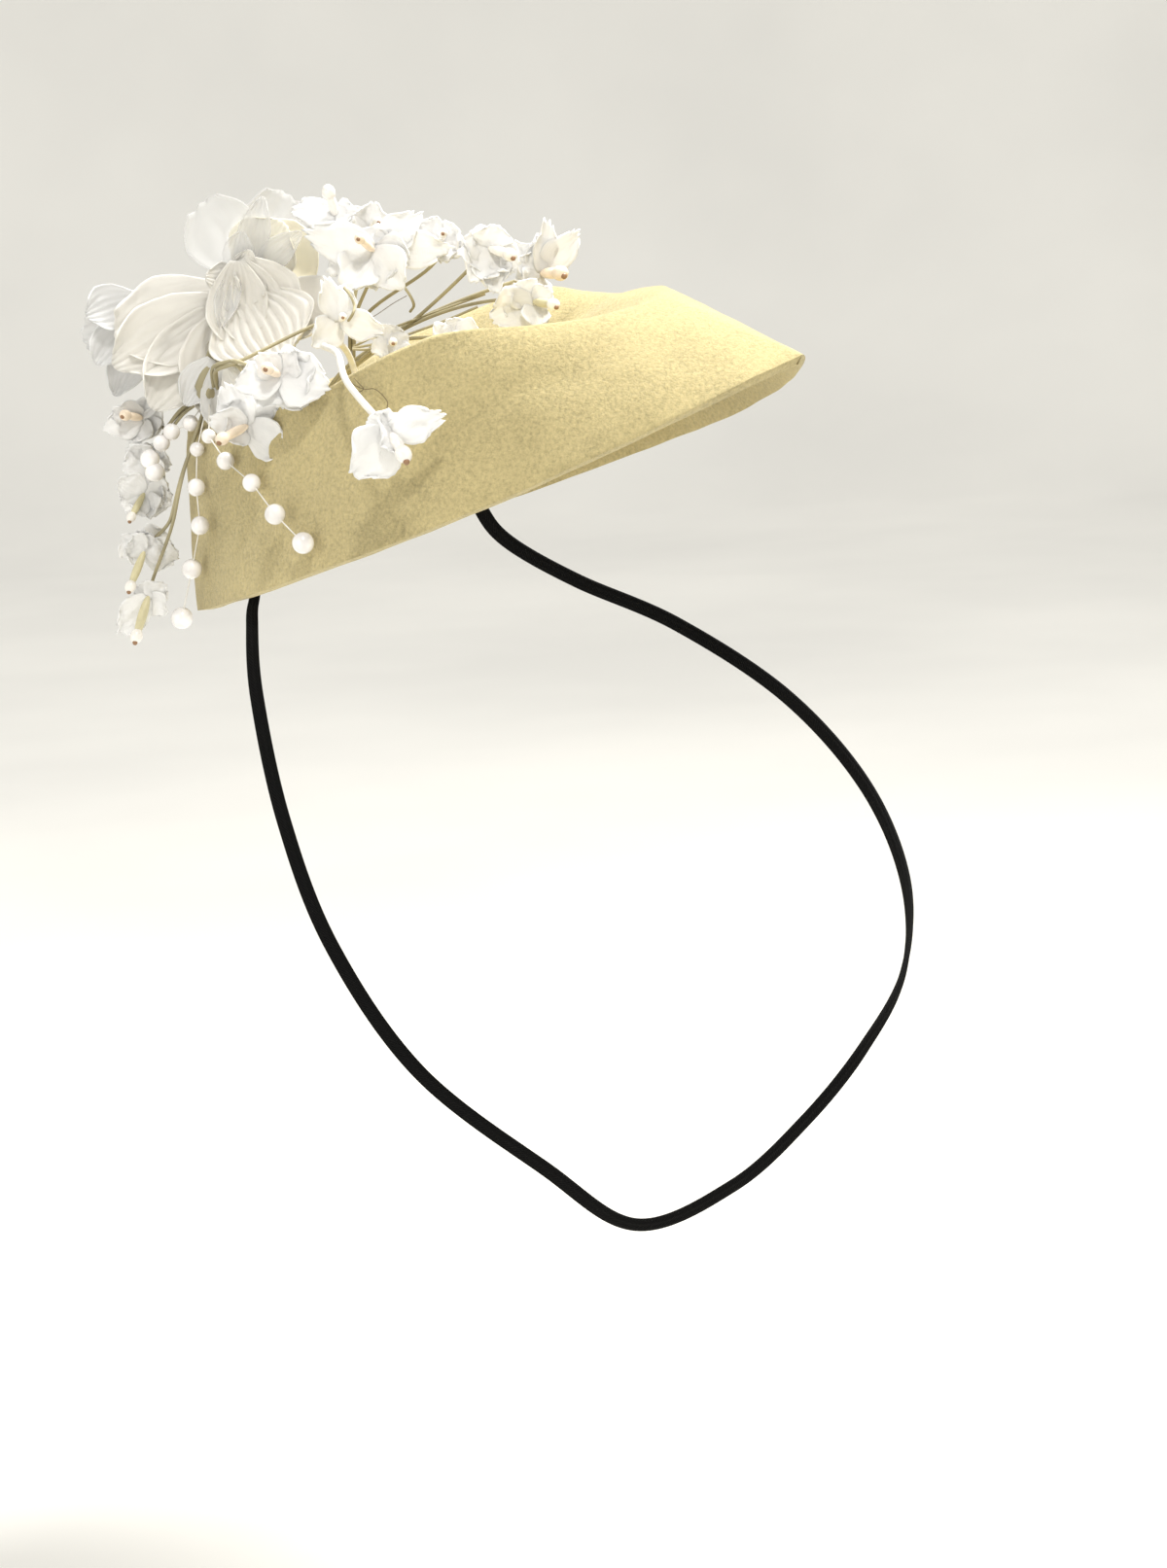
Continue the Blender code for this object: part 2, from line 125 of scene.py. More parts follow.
# Small blossoms, in millimetres. The centre is in the frame of the solids, and petals and stamens
# are measured from it, to the right, up and towards the camera.
BLOSSOMS = (
    # name, centre, turn, rise, petals (right, up, toward, width),
    # stamen (right, up, toward, bead radius), its kind, layers of petals
    ("top_large", (10.4, -28.5, 59.9), 17, 9, (
        (-16.1, 5.3, 2.0, 10.0), (-7.9, -8.8, 4.0, 10.5), (6.7, -9.0, 5.0, 10.0),
        (18.9, -0.5, 0.0, 8.5), (2.6, 6.3, -3.0, 8.0),
    ), (-2.8, 3.2, 6.0, 1.3), "peach", 2),
    ("top_small", (9.8, -40.2, 68.8), 50, 54, (
        (-10.4, 2.0, 2.0, 7.5), (-3.6, -4.2, 4.0, 7.0), (4.7, 1.0, 2.0, 7.0),
        (1.6, -4.9, 4.0, 7.0),
    ), (-1.2, 5.5, 2.0, 1.7), "white", 2),
    ("top_back", (-3.0, -40.1, 64.5), 93, 52, (
        (1.4, 6.8, 1.0, 7.5), (6.1, 1.6, 0.0, 7.0), (-3.9, 5.5, 2.0, 6.5),
        (4.7, -3.5, 2.0, 7.0),
    ), (2.3, 1.9, 5.0, 1.2), "white", 2),
    ("mid_first", (-4.0, -18.6, 61.2), 54, 45, (
        (-5.6, 4.4, 2.0, 7.5), (-3.7, -1.1, 4.0, 7.0), (4.5, 2.6, 1.0, 8.0),
        (5.1, -3.5, 3.0, 7.0), (0.3, -5.0, 4.0, 8.0),
    ), (0.5, 2.0, 5.0, 1.2), "white", 2),
    ("mid_second", (0.5, -0.8, 59.4), 75, 15, (
        (1.7, 5.5, 2.0, 9.0), (-5.6, 2.7, 3.0, 9.0), (-4.8, -7.2, 5.0, 10.0),
        (0.7, -10.3, 4.0, 9.0), (6.5, -5.4, 1.0, 8.0),
    ), (4.9, -1.7, 5.0, 1.6), "brown", 2),
    ("rear_upper", (-16.3, 2.1, 52.2), 87, -5, (
        (1.9, 12.6, 1.0, 5.8), (9.8, 9.4, 0.0, 7.5), (-6.0, 3.5, 2.0, 7.0),
        (-4.0, -3.7, 3.0, 7.5),
    ), (4.5, 0.0, 5.0, 1.9), "peach", 2),
    ("rear_lower", (0.4, 11.6, 46.4), 67, -20, (
        (-10.2, -3.5, 3.0, 11.0), (0.8, -6.4, 3.0, 6.5), (4.6, 2.5, 0.0, 6.0),
        (-4.2, 4.5, 2.0, 8.0),
    ), (4.6, -0.7, 5.0, 1.5), "olive", 2),
    ("inner_first", (10.8, -24.5, 37.8), 50, 23, (
        (1.9, -5.1, 3.0, 7.5), (-4.2, -1.9, 3.0, 7.0), (4.3, 0.7, 0.0, 6.0),
        (-1.6, 4.3, 0.0, 6.5),
    ), (0.7, 0.3, 5.0, 1.1), "white", 2),
    ("inner_second", (5.3, -8.9, 39.6), 51, 8, (
        (-5.3, -3.3, 3.0, 8.0), (1.2, -4.1, 3.0, 7.5), (6.1, -0.5, 1.0, 7.0),
        (-1.2, 3.3, 0.0, 7.0),
    ), (0.6, -0.2, 5.0, 1.0), "white", 1),
    ("ridge_front", (56.9, -21.5, 33.8), 43, 24, (
        (-5.0, 4.9, 2.0, 6.5), (3.4, 5.1, 1.0, 8.0), (-10.0, -2.1, 4.0, 8.5),
        (11.8, -3.0, 4.0, 12.0), (7.4, -7.1, -2.0, 10.0),
    ), (-2.2, 2.0, 5.0, 1.5), "peach", 2),
    ("corner", (54.4, -34.6, 21.6), 0, -17, (
        (-4.7, 9.9, 1.0, 9.0), (3.7, 8.0, -1.0, 9.0), (12.0, 1.1, -1.0, 10.0),
        (9.8, -7.2, 2.0, 9.5), (-8.3, 2.1, 3.0, 8.0),
    ), (-5.5, -2.3, 5.0, 1.6), "peach", 2),
    ("hanging", (65.2, 17.3, 21.3), 57, -43, (
        (-8.8, -8.6, 4.0, 13.5), (-5.0, 3.6, 1.0, 8.5), (2.5, 3.7, -2.0, 8.0),
        (12.1, 3.6, 0.0, 8.5), (-1.5, -2.5, 4.0, 9.0),
    ), (2.7, -4.5, 3.0, 1.9), "brown", 1),
    ("bud_side", (28.6, -25.3, 44.3), 43, -21, (
        (-3.2, 10.4, 1.0, 6.5), (-6.6, -5.4, 4.0, 8.0), (10.2, -2.7, 3.0, 7.0),
        (1.4, 8.6, -2.0, 6.5),
    ), (0.8, 1.1, 4.0, 1.0), "white", 1),
    ("left_high", (36.6, -84.0, 21.5), -1, 12, (
        (-9.2, -1.9, 3.0, 8.0), (-7.3, 2.2, 2.0, 7.0), (5.0, -2.3, -1.0, 8.5),
        (-2.1, -6.0, 2.0, 7.0), (1.1, 5.1, -2.0, 7.0),
    ), (-3.6, 1.2, 4.0, 1.4), "peach", 2),
    ("left_mid", (36.3, -84.0, 10.8), -15, 3, (
        (-3.3, 4.2, 2.0, 8.0), (-5.5, -1.9, 2.0, 7.5), (3.7, -5.8, 2.0, 7.5),
        (2.5, 4.0, -2.0, 7.0),
    ), (1.9, -10.6, 2.0, 1.2), "olive", 2),
    ("left_low", (40.1, -82.0, 3.1), -1, 6, (
        (-6.0, 3.9, 2.0, 8.0), (-5.1, -3.4, 2.0, 8.5), (6.8, -2.3, 0.0, 9.0),
        (1.7, -5.7, 2.0, 7.0),
    ), (-3.2, -5.3, 3.0, 1.2), "olive", 2),
    ("left_fork", (43.6, -80.2, -11.0), -1, -35, (
        (-5.2, 4.4, 2.0, 8.0), (-1.6, 5.3, -1.0, 7.5), (4.9, 1.2, 0.0, 8.0),
        (8.3, -1.6, -2.0, 9.5),
    ), (-3.6, -7.9, 3.0, 1.4), "olive", 2),
    ("left_tip", (44.4, -79.2, -22.0), -4, -48, (
        (4.4, 3.3, 1.0, 7.0), (4.1, -4.5, 1.0, 7.0), (-7.6, -8.1, 2.0, 8.0),
        (-2.7, 3.0, 0.0, 6.5),
    ), (-3.1, -9.0, 4.0, 1.6), "olive", 1),
)

# Turn from each layer of a blossom to the next, and how much smaller and farther back it lies
LAYER_TURN = math.radians(38)
LAYER_SHRINK = 0.25
LAYER_DROP = 0.0011
LAYER_TIP_DROP = 0.0015
PETAL_DROP = 0.0006

# How far behind a blossom its wire ends
WIRE_END = 0.0008

# Places below are in shares of the half width at their height, the rim back length and the
# crown height
STALK_FOOT = (0.562, -0.55, 0.975)
KNOT = (0.692, -0.54, 1.11)
HEART = (0.377, -0.45, 1.64)
STALK_RADIUS = 0.0016
KNOT_RADIUS = 0.0035
HEART_RADIUS = 0.0045
PETAL_SEAT = 0.0050

# Petals of the large bloom, from the heart to their tips
BLOOM_PETALS = (
    # name, tip, turn, rise, layer, width, cup, pleats, pleat depth, cloth
    ("left", (0.742, -0.76, 1.57), 34, 18, 0.5, 0.024, 0.30, 6, 0.030, "satin"),
    ("lower", (0.604, -0.77, 1.20), 25, 4, 0.0, 0.022, 0.25, 3, 0.015, "satin"),
    ("fan", (0.578, -0.33, 1.14), 38, 8, 1.2, 0.028, 0.12, 11, 0.045, "satin"),
    ("side", (0.352, -0.18, 1.24), 54, -6, -0.7, 0.017, 0.30, 3, 0.04, "satin"),
    ("back", (0.000, -0.31, 1.77), 45, 9, -0.2, 0.019, 0.30, 0, 0.0, "cream"),
    ("sheer_left", (0.189, -0.54, 2.18), 20, 11, 0.0, 0.019, 0.30, 3, 0.05, "sheer"),
    ("sheer_top", (-0.176, -0.42, 2.08), 43, 4, -0.6, 0.018, 0.30, 3, 0.05, "sheer"),
    ("outer", (0.566, -0.95, 1.68), 19, 6, -0.5, 0.017, 0.30, 4, 0.06, "white"),
    ("far_low", (-0.251, -0.68, 1.22), 215, 15, 0.5, 0.022, 0.25, 5, 0.03, "satin"),
    ("far_high", (-0.314, -0.66, 1.75), 205, 30, 0.2, 0.020, 0.30, 5, 0.03, "satin"),
)

# More layers of the bloom, in millimetres from the heart, with the solid that each goes with
BLOOM_LAYERS = (
    # name, solid, cloth, rows of (root, tip, width, cup)
    ("petal_folds", "bloom_stalk", "satin", (
        ((0, 0, 0), (-7.545, 2.5, 6.5), 9.0, -0.10),
        ((0, 0, 0), (3.772, 8.5, 5.0), 7.0, -0.10),
        ((0, 0, 1), (6.916, -2.5, 7.0), 9.0, -0.10),
        ((0, 0, 1), (-2.515, -6.0, 7.0), 9.0, -0.10),
        ((0, 0, 0), (-6.287, -3.0, 6.0), 8.0, -0.10),
        ((0, 0, 1), (0.629, 1.5, 7.5), 7.0, -0.15))),
    ("petal_crescent", "bloom_lower", "satin", (
        ((-3, -4, 1), (-32.0, -18.0, 3.0), 19.0, 0.10),
        ((-2, -5, 1), (-23.0, -29.0, 4.0), 20.0, 0.10),
        ((-1, -5, 1), (-10.0, -31.0, 7.0), 19.0, 0.10))),
    ("petal_knot", "bloom_stalk", "white", (
        ((-6, -19, 13), (-5.5, -35.0, 14.0), 9.0, 0.10),
        ((-3, -19, 14), (2.5, -33.0, 17.0), 9.0, 0.10),
        ((-7, -17, 11), (-14.0, -28.0, 12.0), 9.0, 0.10))),
    ("petal_strips", "bloom_sheer_top", "sheer", (
        ((1, 1, 2), (7.5, 21.0, 2.0), 8.0, 0.05),
        ((-1, 2, 2), (2.0, 13.0, 4.0), 8.0, 0.05),
        ((3, 2, 2), (16.5, 12.0, 4.0), 7.0, 0.05),
        ((0, 5, 5), (-4.5, -10.0, 8.0), 6.0, 0.05))),
    ("petal_cream", "bloom_back", "cream", (
        ((1, 2, 1), (12.0, 14.5, 1.0), 18.0, 0.15),)),
    ("petal_fan_front", "bloom_fan", "satin", (
        ((0.377, 6.0, 5.5), (-1.0, -15.5, 8.5), 15.0, 0.06),
        ((0.629, 6.0, 5.2), (6.0, -16.0, 8.0), 17.0, 0.06),
        ((1.006, 6.0, 5.0), (13.0, -11.5, 6.5), 16.0, 0.06))),
    ("petal_crumpled", "bloom_outer", "white", (
        ((-26, -2, -6), (-38.5, -6.0, -4.0), 12.0, 0.15),
        ((-27, -6, -6), (-37.0, -18.0, -5.0), 11.0, 0.15),
        ((-26, -12, -6), (-33.0, -26.0, -5.0), 9.0, 0.15))),
)

# Wire sprays: their trunk and the blossoms they carry
SPRAYS = (
    ("spray_rear", ((0.143, -0.46, 0.785), (0.075, -0.36, 0.96), (-0.013, -0.25, 1.04)),
     ("rear_upper", "rear_lower", "mid_second", "inner_second", "inner_first")),
    ("spray_top", ((-0.047, -0.40, 0.71), (-0.049, -0.38, 0.90), (-0.050, -0.33, 1.13)),
     ("top_large", "mid_first", "top_small", "top_back")),
    ("spray_side", ((0.717, -0.50, 1.13), (0.817, -0.44, 1.21), (0.880, -0.36, 1.20)),
     ("ridge_front", "corner", "bud_side")),
    ("spray_left", ((0.729, -0.56, 1.03), (0.815, -0.64, 0.75), (0.809, -0.71, 0.54)),
     ("left_fork", "left_tip")),
    ("spray_drop", ((0.679, -0.58, 1.10), (0.629, -0.68, 1.08), (0.604, -0.76, 1.02)),
     ("left_high", "left_mid", "left_low")),
)
WHITE_STEM = (
    (0.104, -0.32, 0.639), (0.163, -0.27, 0.98), (0.377, -0.20, 1.11),
    (0.654, -0.14, 1.11), (0.893, -0.01, 1.02), (1.120, 0.10, 0.83),
)

# Loose ends: (right, up, towards the camera) in millimetres from the heart of the bloom
LOOSE_WIRES = (
    ((26.9, -17.0, 3), (31.0, -17.2, 4), (35.4, -16.2, 5)),
    ((26.9, -16.8, 2), (36.0, -15.4, 3), (48.3, -11.9, 1), (58.0, -8.6, -2)),
    ((27.2, -16.5, 1), (36.0, -12.8, 2), (48.3, -9.0, 0), (60.0, -5.6, -3)),
    ((26.9, -1.2, 22), (28.3, -2.8, 24.2), (29.2, -5.3, 24.8), (28.9, -7.1, 27.0),
     (27.6, -8.9, 25.0)),
    ((40.0, -1.6, 5), (42.0, -4.6, 7), (42.7, -7.0, 6), (41.6, -8.6, 3)),
)
LOOSE_THREADS = (
    ((28.4, -20.2, 54.4), (29.6, -21.9, 56.1), (32.2, -23.0, 58.6), (34.4, -22.9, 60.1),
     (36.1, -24.0, 61.4), (37.4, -25.6, 62.5), (37.5, -26.6, 62.7), (36.8, -29.2, 63.0)),
    ((29.8, -20.5, 55.9), (31.1, -21.9, 57.3), (32.0, -22.9, 58.3), (31.0, -23.6, 57.8),
     (29.3, -23.4, 56.4)),
    ((30.5, -9.8, 3), (33.0, -9.1, 4), (37.5, -6.4, 5), (41.1, -4.6, 6)),
)

# Pearl strands: each pearl with its radius, down from the knot
STRANDS = (
    ("left", (
        (0.753, -0.61, 0.99, 0.0020), (0.826, -0.65, 0.98, 0.0021), (0.854, -0.68, 0.94, 0.0021),
        (0.878, -0.72, 0.88, 0.0024), (0.861, -0.72, 0.80, 0.0024))),
    ("middle", (
        (0.855, -0.56, 0.83, 0.0018), (0.873, -0.58, 0.63, 0.0022), (0.897, -0.58, 0.42, 0.0023),
        (0.836, -0.67, 0.21, 0.0025), (0.790, -0.77, -0.03, 0.0027))),
    ("right", (
        (0.900, -0.49, 0.87, 0.0018), (0.981, -0.41, 0.70, 0.0022), (1.032, -0.31, 0.53, 0.0022),
        (1.070, -0.23, 0.32, 0.0025), (1.056, -0.16, 0.12, 0.0026))),
)

# Elastic: how finely it is drawn, how square its section is and how far it faces the camera
ELASTIC_STEPS = 24
ELASTIC_SEGMENTS = 40
SECTION_POWER = 0.75
FACE_CAMERA = 3

# Its braid: ribs and their height, the stitch along it and how far the stitch slants
RIBS = 10
RIB_HEIGHT = 0.16
STITCH_LENGTH = 0.0009
STITCH_SLANT = 0.0035

# Elastic route in millimetres, from the near inner wall round to the far inner wall
ELASTIC_ROUTE = (
    (44.6, -44.8, -5.6),
    (46.6, -42.4, -18.6),
    (49.6, -41.3, -25.5),
    (59.1, -33.2, -42.2),
    (63.0, -24.0, -71.2),
    (63.9, -10.9, -100.4),
    (58.0, 8.3, -130.3),
    (42.5, 32.1, -155.0),
    (25.7, 45.9, -171.7),
    (9.3, 63.1, -164.3),
    (-6.3, 74.5, -150.7),
    (-20.9, 82.6, -135.4),
    (-42.0, 82.0, -121.0),
    (-66.0, 69.0, -104.0),
    (-84.0, 47.0, -84.0),
    (-90.0, 20.0, -63.0),
    (-82.0, -8.0, -44.0),
    (-66.0, -28.0, -31.0),
    (-53.0, -40.0, -19.5),
    (-46.9, -44.0, -10.1),
    (-43.5, -46.3, 2.5),
)


class HatSizes(bpy.types.PropertyGroup):
    felt_thickness: bpy.props.FloatProperty(
        name="Felt thickness", description="Thickness of the felt wall", default=0.0026,
        min=0.001, max=0.005, unit="LENGTH")
    petal_thickness: bpy.props.FloatProperty(
        name="Petal thickness", description="Thickness of the petal cloth", default=0.0003,
        min=0.0001, max=0.001, unit="LENGTH")
    wire_radius: bpy.props.FloatProperty(
        name="Wire radius", description="Radius of the wrapped wires", default=0.00045,
        min=0.0002, max=0.001, unit="LENGTH")
    stem_radius: bpy.props.FloatProperty(
        name="White stem radius", description="Radius of the white stem", default=0.0008,
        min=0.0003, max=0.002, unit="LENGTH")
    thread_radius: bpy.props.FloatProperty(
        name="Thread radius", description="Radius of the clear pearl thread", default=0.00018,
        min=0.0001, max=0.001, unit="LENGTH")
    elastic_width: bpy.props.FloatProperty(
        name="Elastic width", description="Width of the flat elastic", default=0.0038,
        min=0.001, max=0.008, unit="LENGTH")
    elastic_depth: bpy.props.FloatProperty(
        name="Elastic thickness", description="Thickness of the flat elastic", default=0.0013,
        min=0.0005, max=0.004, unit="LENGTH")


class HatColours(bpy.types.PropertyGroup):
    felt: bpy.props.FloatVectorProperty(
        name="Felt", description="Main colour of the felt", subtype="COLOR",
        default=(0.555, 0.465, 0.235), min=0, max=1)
    petal: bpy.props.FloatVectorProperty(
        name="Petals", description="Colour of the blossom petals", subtype="COLOR",
        default=(0.93, 0.93, 0.925), min=0, max=1)
    satin: bpy.props.FloatVectorProperty(
        name="Bloom petals", description="Colour of the large pleated petals", subtype="COLOR",
        default=(0.91, 0.88, 0.81), min=0, max=1)
    wire: bpy.props.FloatVectorProperty(
        name="Wires", description="Colour of the paper wrapped wires", subtype="COLOR",
        default=(0.36, 0.32, 0.20), min=0, max=1)
    pearl: bpy.props.FloatVectorProperty(
        name="Pearls", description="Colour of the pearls", subtype="COLOR",
        default=(0.90, 0.87, 0.855), min=0, max=1)
    elastic: bpy.props.FloatVectorProperty(
        name="Elastic", description="Colour of the elastic", subtype="COLOR",
        default=(0.004, 0.004, 0.004), min=0, max=1)


def sizes():
    return bpy.context.scene.percher_sizes


def colours():
    return bpy.context.scene.percher_colours


# Materials


def shader(name, colour, roughness, **inputs):
    """A new material's Principled BSDF with constant values on its own sockets."""
    made = bpy.data.materials.new(name)
    made.use_nodes = True
    bsdf = made.node_tree.nodes["Principled BSDF"]
    bsdf.inputs["Base Color"].default_value = (*colour, 1)
    bsdf.inputs["Roughness"].default_value = roughness
    for key, value in inputs.items():
        bsdf.inputs[key.replace("_", " ")].default_value = value
    return made, bsdf


def node(material, kind, **values):
    """A new shader node with its settings and inputs."""
    made = material.node_tree.nodes.new(kind)
    for key, value in values.items():
        if key in made.bl_rna.properties:
            setattr(made, key, value)
        else:
            made.inputs[key.replace("_", " ")].default_value = value
    return made


def link(material, source, target):
    material.node_tree.links.new(source, target)


def placed(material, where="Object", scale=(1, 1, 1)):
    """Coordinates of a kind that the piece has, scaled by a Mapping node."""
    source = node(material, "ShaderNodeTexCoord")
    mapping = node(material, "ShaderNodeMapping", Scale=scale)
    link(material, source.outputs[where], mapping.inputs["Vector"])
    return mapping.outputs["Vector"]


def clouds(material, where=None, **values):
    """Soft noise, on the object's own coordinates where no others are given."""
    made = node(material, "ShaderNodeTexNoise", **values)
    link(material, placed(material) if where is None else where, made.inputs["Vector"])
    return made.outputs["Fac"]


def tinted(material, bsdf, fac, tone, *stops):
    """Base colour in shades of a tone, blended between stops of (position, brightness)."""
    made = node(material, "ShaderNodeValToRGB")
    ends = made.color_ramp.elements
    while len(ends) < len(stops):
        ends.new(0.5)
    for spot, (position, brightness) in zip(ends, stops):
        spot.position = position
        spot.color = (*(min(1.0, channel * brightness) for channel in tone), 1)
    link(material, fac, made.inputs["Fac"])
    link(material, made.outputs["Color"], bsdf.inputs["Base Color"])


def bump(material, bsdf, height, strength, distance):
    """Fine relief from a height."""
    made = node(material, "ShaderNodeBump", Strength=strength, Distance=distance)
    link(material, height, made.inputs["Height"])
    link(material, made.outputs["Normal"], bsdf.inputs["Normal"])


def mixed(material, first, second, share):
    """Two heights added, the second times share."""
    made = node(material, "ShaderNodeMath", operation="MULTIPLY_ADD")
    made.inputs[1].default_value = share
    link(material, second, made.inputs[0])
    link(material, first, made.inputs[2])
    return made.outputs[0]


def felt_material():
    """Pressed wool felt: soft clouds of tone, flecks and short fibres."""
    tone = tuple(colours().felt)
    made, bsdf = shader("Wool felt", tone, 0.95, Sheen_Weight=0.35, Sheen_Roughness=0.45,
                        Sheen_Tint=(1.0, 0.97, 0.86, 1), Specular_IOR_Level=0.2)
    cloud = clouds(made, Scale=38.0, Detail=6.0, Roughness=0.6)
    fleck = clouds(made, Scale=1100.0, Detail=4.0, Roughness=0.75)
    both = mixed(made, fleck, cloud, 0.5)
    tinted(made, bsdf, both, tone, (0.56, 0.72), (0.76, 1.0), (0.96, 1.20))
    fibre = clouds(made, placed(made, scale=(1, 0.45, 1)), Scale=1100.0, Detail=5.0,
                   Roughness=0.75, Distortion=1.5)
    bump(made, bsdf, mixed(made, fibre, fleck, 1.2), 0.8, 0.0005)
    return made


def cloth_material(name, colour, threads, alpha=1.0, glow=0.0):
    """Fine woven cloth on the piece's UV map, a little see-through where it is sheer."""
    made, bsdf = shader(name, colour, 0.75, Alpha=alpha, Sheen_Weight=0.25,
                        Specular_IOR_Level=0.3)
    if glow:
        bsdf.inputs["Subsurface Weight"].default_value = glow
        bsdf.inputs["Subsurface Radius"].default_value = (0.002, 0.002, 0.002)
        bsdf.inputs["Subsurface Scale"].default_value = 1.0
    tinted(made, bsdf, clouds(made, Scale=55.0, Detail=3.0), colour, (0.30, 0.94), (0.70, 1.06))
    weave = []
    for direction in ("X", "Y"):
        wave = node(made, "ShaderNodeTexWave", wave_type="BANDS", bands_direction=direction,
                    Scale=threads, Distortion=0.6, Detail=1.0)
        link(made, placed(made, "UV"), wave.inputs["Vector"])
        weave.append(wave.outputs["Fac"])
    crease = clouds(made, placed(made, "UV", (9, 1.6, 1)), Scale=1.0, Detail=4.0, Roughness=0.6,
                    Distortion=0.4)
    threads_up = mixed(made, weave[0], weave[1], 1.0)
    bump(made, bsdf, mixed(made, crease, threads_up, 0.10), 0.6, 0.0006)
    return made


def wire_material():
    """Wire wrapped in paper, blotched along its length."""
    tone = tuple(colours().wire)
    made, bsdf = shader("Paper wrapped wire", tone, 0.8)
    wrap = clouds(made, Scale=700.0, Detail=3.0)
    tinted(made, bsdf, clouds(made, Scale=60.0, Detail=2.0), tone, (0.30, 0.75), (0.70, 1.35))
    bump(made, bsdf, wrap, 0.6, 0.0002)
    return made


def pearl_material():
    """Pearls with a clear lustre and a slight change of tone."""
    tone = tuple(colours().pearl)
    made, bsdf = shader("Pearl lustre", tone, 0.25, Coat_Weight=1.0, Coat_Roughness=0.06)
    cloud = clouds(made, Scale=220.0, Detail=2.0)
    tinted(made, bsdf, cloud, tone, (0.35, 0.82), (0.65, 1.12))
    bump(made, bsdf, cloud, 0.1, 0.0001)
    return made


def plain_material(name, colour, roughness, grain):
    """A matte material with a fine grain and a slight change of tone."""
    made, bsdf = shader(name, colour, roughness)
    cloud = clouds(made, Scale=grain, Detail=3.0)
    tinted(made, bsdf, cloud, colour, (0.30, 0.90), (0.70, 1.08))
    bump(made, bsdf, cloud, 0.3, 0.0001)
    return made


def elastic_material():
    """Braided black elastic: short slanted stitches along each rib, with painted light on the raised
    stitches and painted shade between them.
    """
    tone = tuple(colours().elastic)
    made, bsdf = shader("Braided elastic", tone, 0.9, Specular_IOR_Level=0.12)
    along = node(made, "ShaderNodeAttribute", attribute_name="along")
    around = node(made, "ShaderNodeAttribute", attribute_name="around")
    slant = mixed(made, along.outputs["Fac"], around.outputs["Fac"], STITCH_SLANT)
    stitch = node(made, "ShaderNodeMath", operation="SINE")
    turns = node(made, "ShaderNodeMath", operation="MULTIPLY")
    turns.inputs[1].default_value = 2 * math.pi / STITCH_LENGTH
    link(made, slant, turns.inputs[0])
    link(made, turns.outputs[0], stitch.inputs[0])
    bump(made, bsdf, stitch.outputs[0], 0.5, 0.00015)
    # Painted light and shade: the colour follows the stitch height, lighter on the raised stitches
    # and darker in the grooves
    tinted(made, bsdf, stitch.outputs[0], tone, (0.2, 0.7), (0.9, 1.8))
    return made


# Meshes


def in_hat(across, along, up):
    """A place given in shares of the hat's sizes, in the frame of the solids."""
    half_width = RIM_HALF_WIDTH + (RIDGE_HALF_WIDTH - RIM_HALF_WIDTH) * min(1.0, max(0.0, up))
    return HAT @ Vector((across * half_width, along * RIM_BACK, up * CROWN_HEIGHT))


def facing(turn, rise):
    """The direction that a turn and a rise in the tilted hat give, in degrees."""
    turn, rise = math.radians(turn), math.radians(rise)
    return HAT @ Vector((
        math.cos(turn) * math.cos(rise), math.sin(turn) * math.cos(rise), math.sin(rise)
    ))


def in_view(right, up, toward):
    """A step given in millimetres to the right, up and towards the camera."""
    return (RIGHT * right + UP * up + TOWARD * toward) * MILLIMETRE


def stood(origin, up, along):
    """Matrix of a piece at the origin whose Z is up and whose Y leans to along."""
    y = along.normalized()
    x = y.cross(up).normalized()
    z = x.cross(y)
    return Matrix.Translation(origin) @ Matrix((x, y, z)).transposed().to_4x4()


def finish_piece(name, bm, looks, nodes):
    """Makes the piece's object, gives it its materials and hides the solids it stands for."""
    mesh = bpy.data.meshes.new(name)
    bm.to_mesh(mesh)
    bm.free()
    for look in looks:
        mesh.materials.append(look)
    mesh.shade_smooth()
    made = bpy.data.objects.new(name, mesh)
    bpy.context.scene.collection.objects.link(made)
    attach(made, "root")
    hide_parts(*nodes)
    return made


def thicken(piece, thickness, offset, even):
    """Gives a sheet its thickness, from its face inwards at -1 or to both sides at 0."""
    solid = piece.modifiers.new("Thickness", "SOLIDIFY")
    solid.thickness = thickness
    solid.offset = offset
    solid.use_even_offset = even


def add_ball(bm, centre, radius, stretch, direction, sides, index):
    """A ball, stretched along a direction, with one material."""
    made = bmesh.ops.create_uvsphere(bm, u_segments=sides, v_segments=sides * 2 // 3, radius=radius)
    turn = direction.to_track_quat("Z", "Y").to_matrix().to_4x4()
    place = Matrix.Translation(centre) @ turn @ Matrix.Diagonal((1, 1, stretch, 1))
    bmesh.ops.transform(bm, matrix=place, verts=made["verts"])
    for face in {face for vert in made["verts"] for face in vert.link_faces}:
        face.material_index = index


def smooth_route(points, count):
    """A smooth curve through the points, with count steps between each two."""
    ends = [points[0], *points, points[-1]]
    route = [points[0]]
    for before, first, last, after in zip(ends, ends[1:], ends[2:], ends[3:]):
        route += interpolate_bezier(
            first, first + (last - before) / 6, last - (after - first) / 6, last, count + 1
        )[1:]
    return route


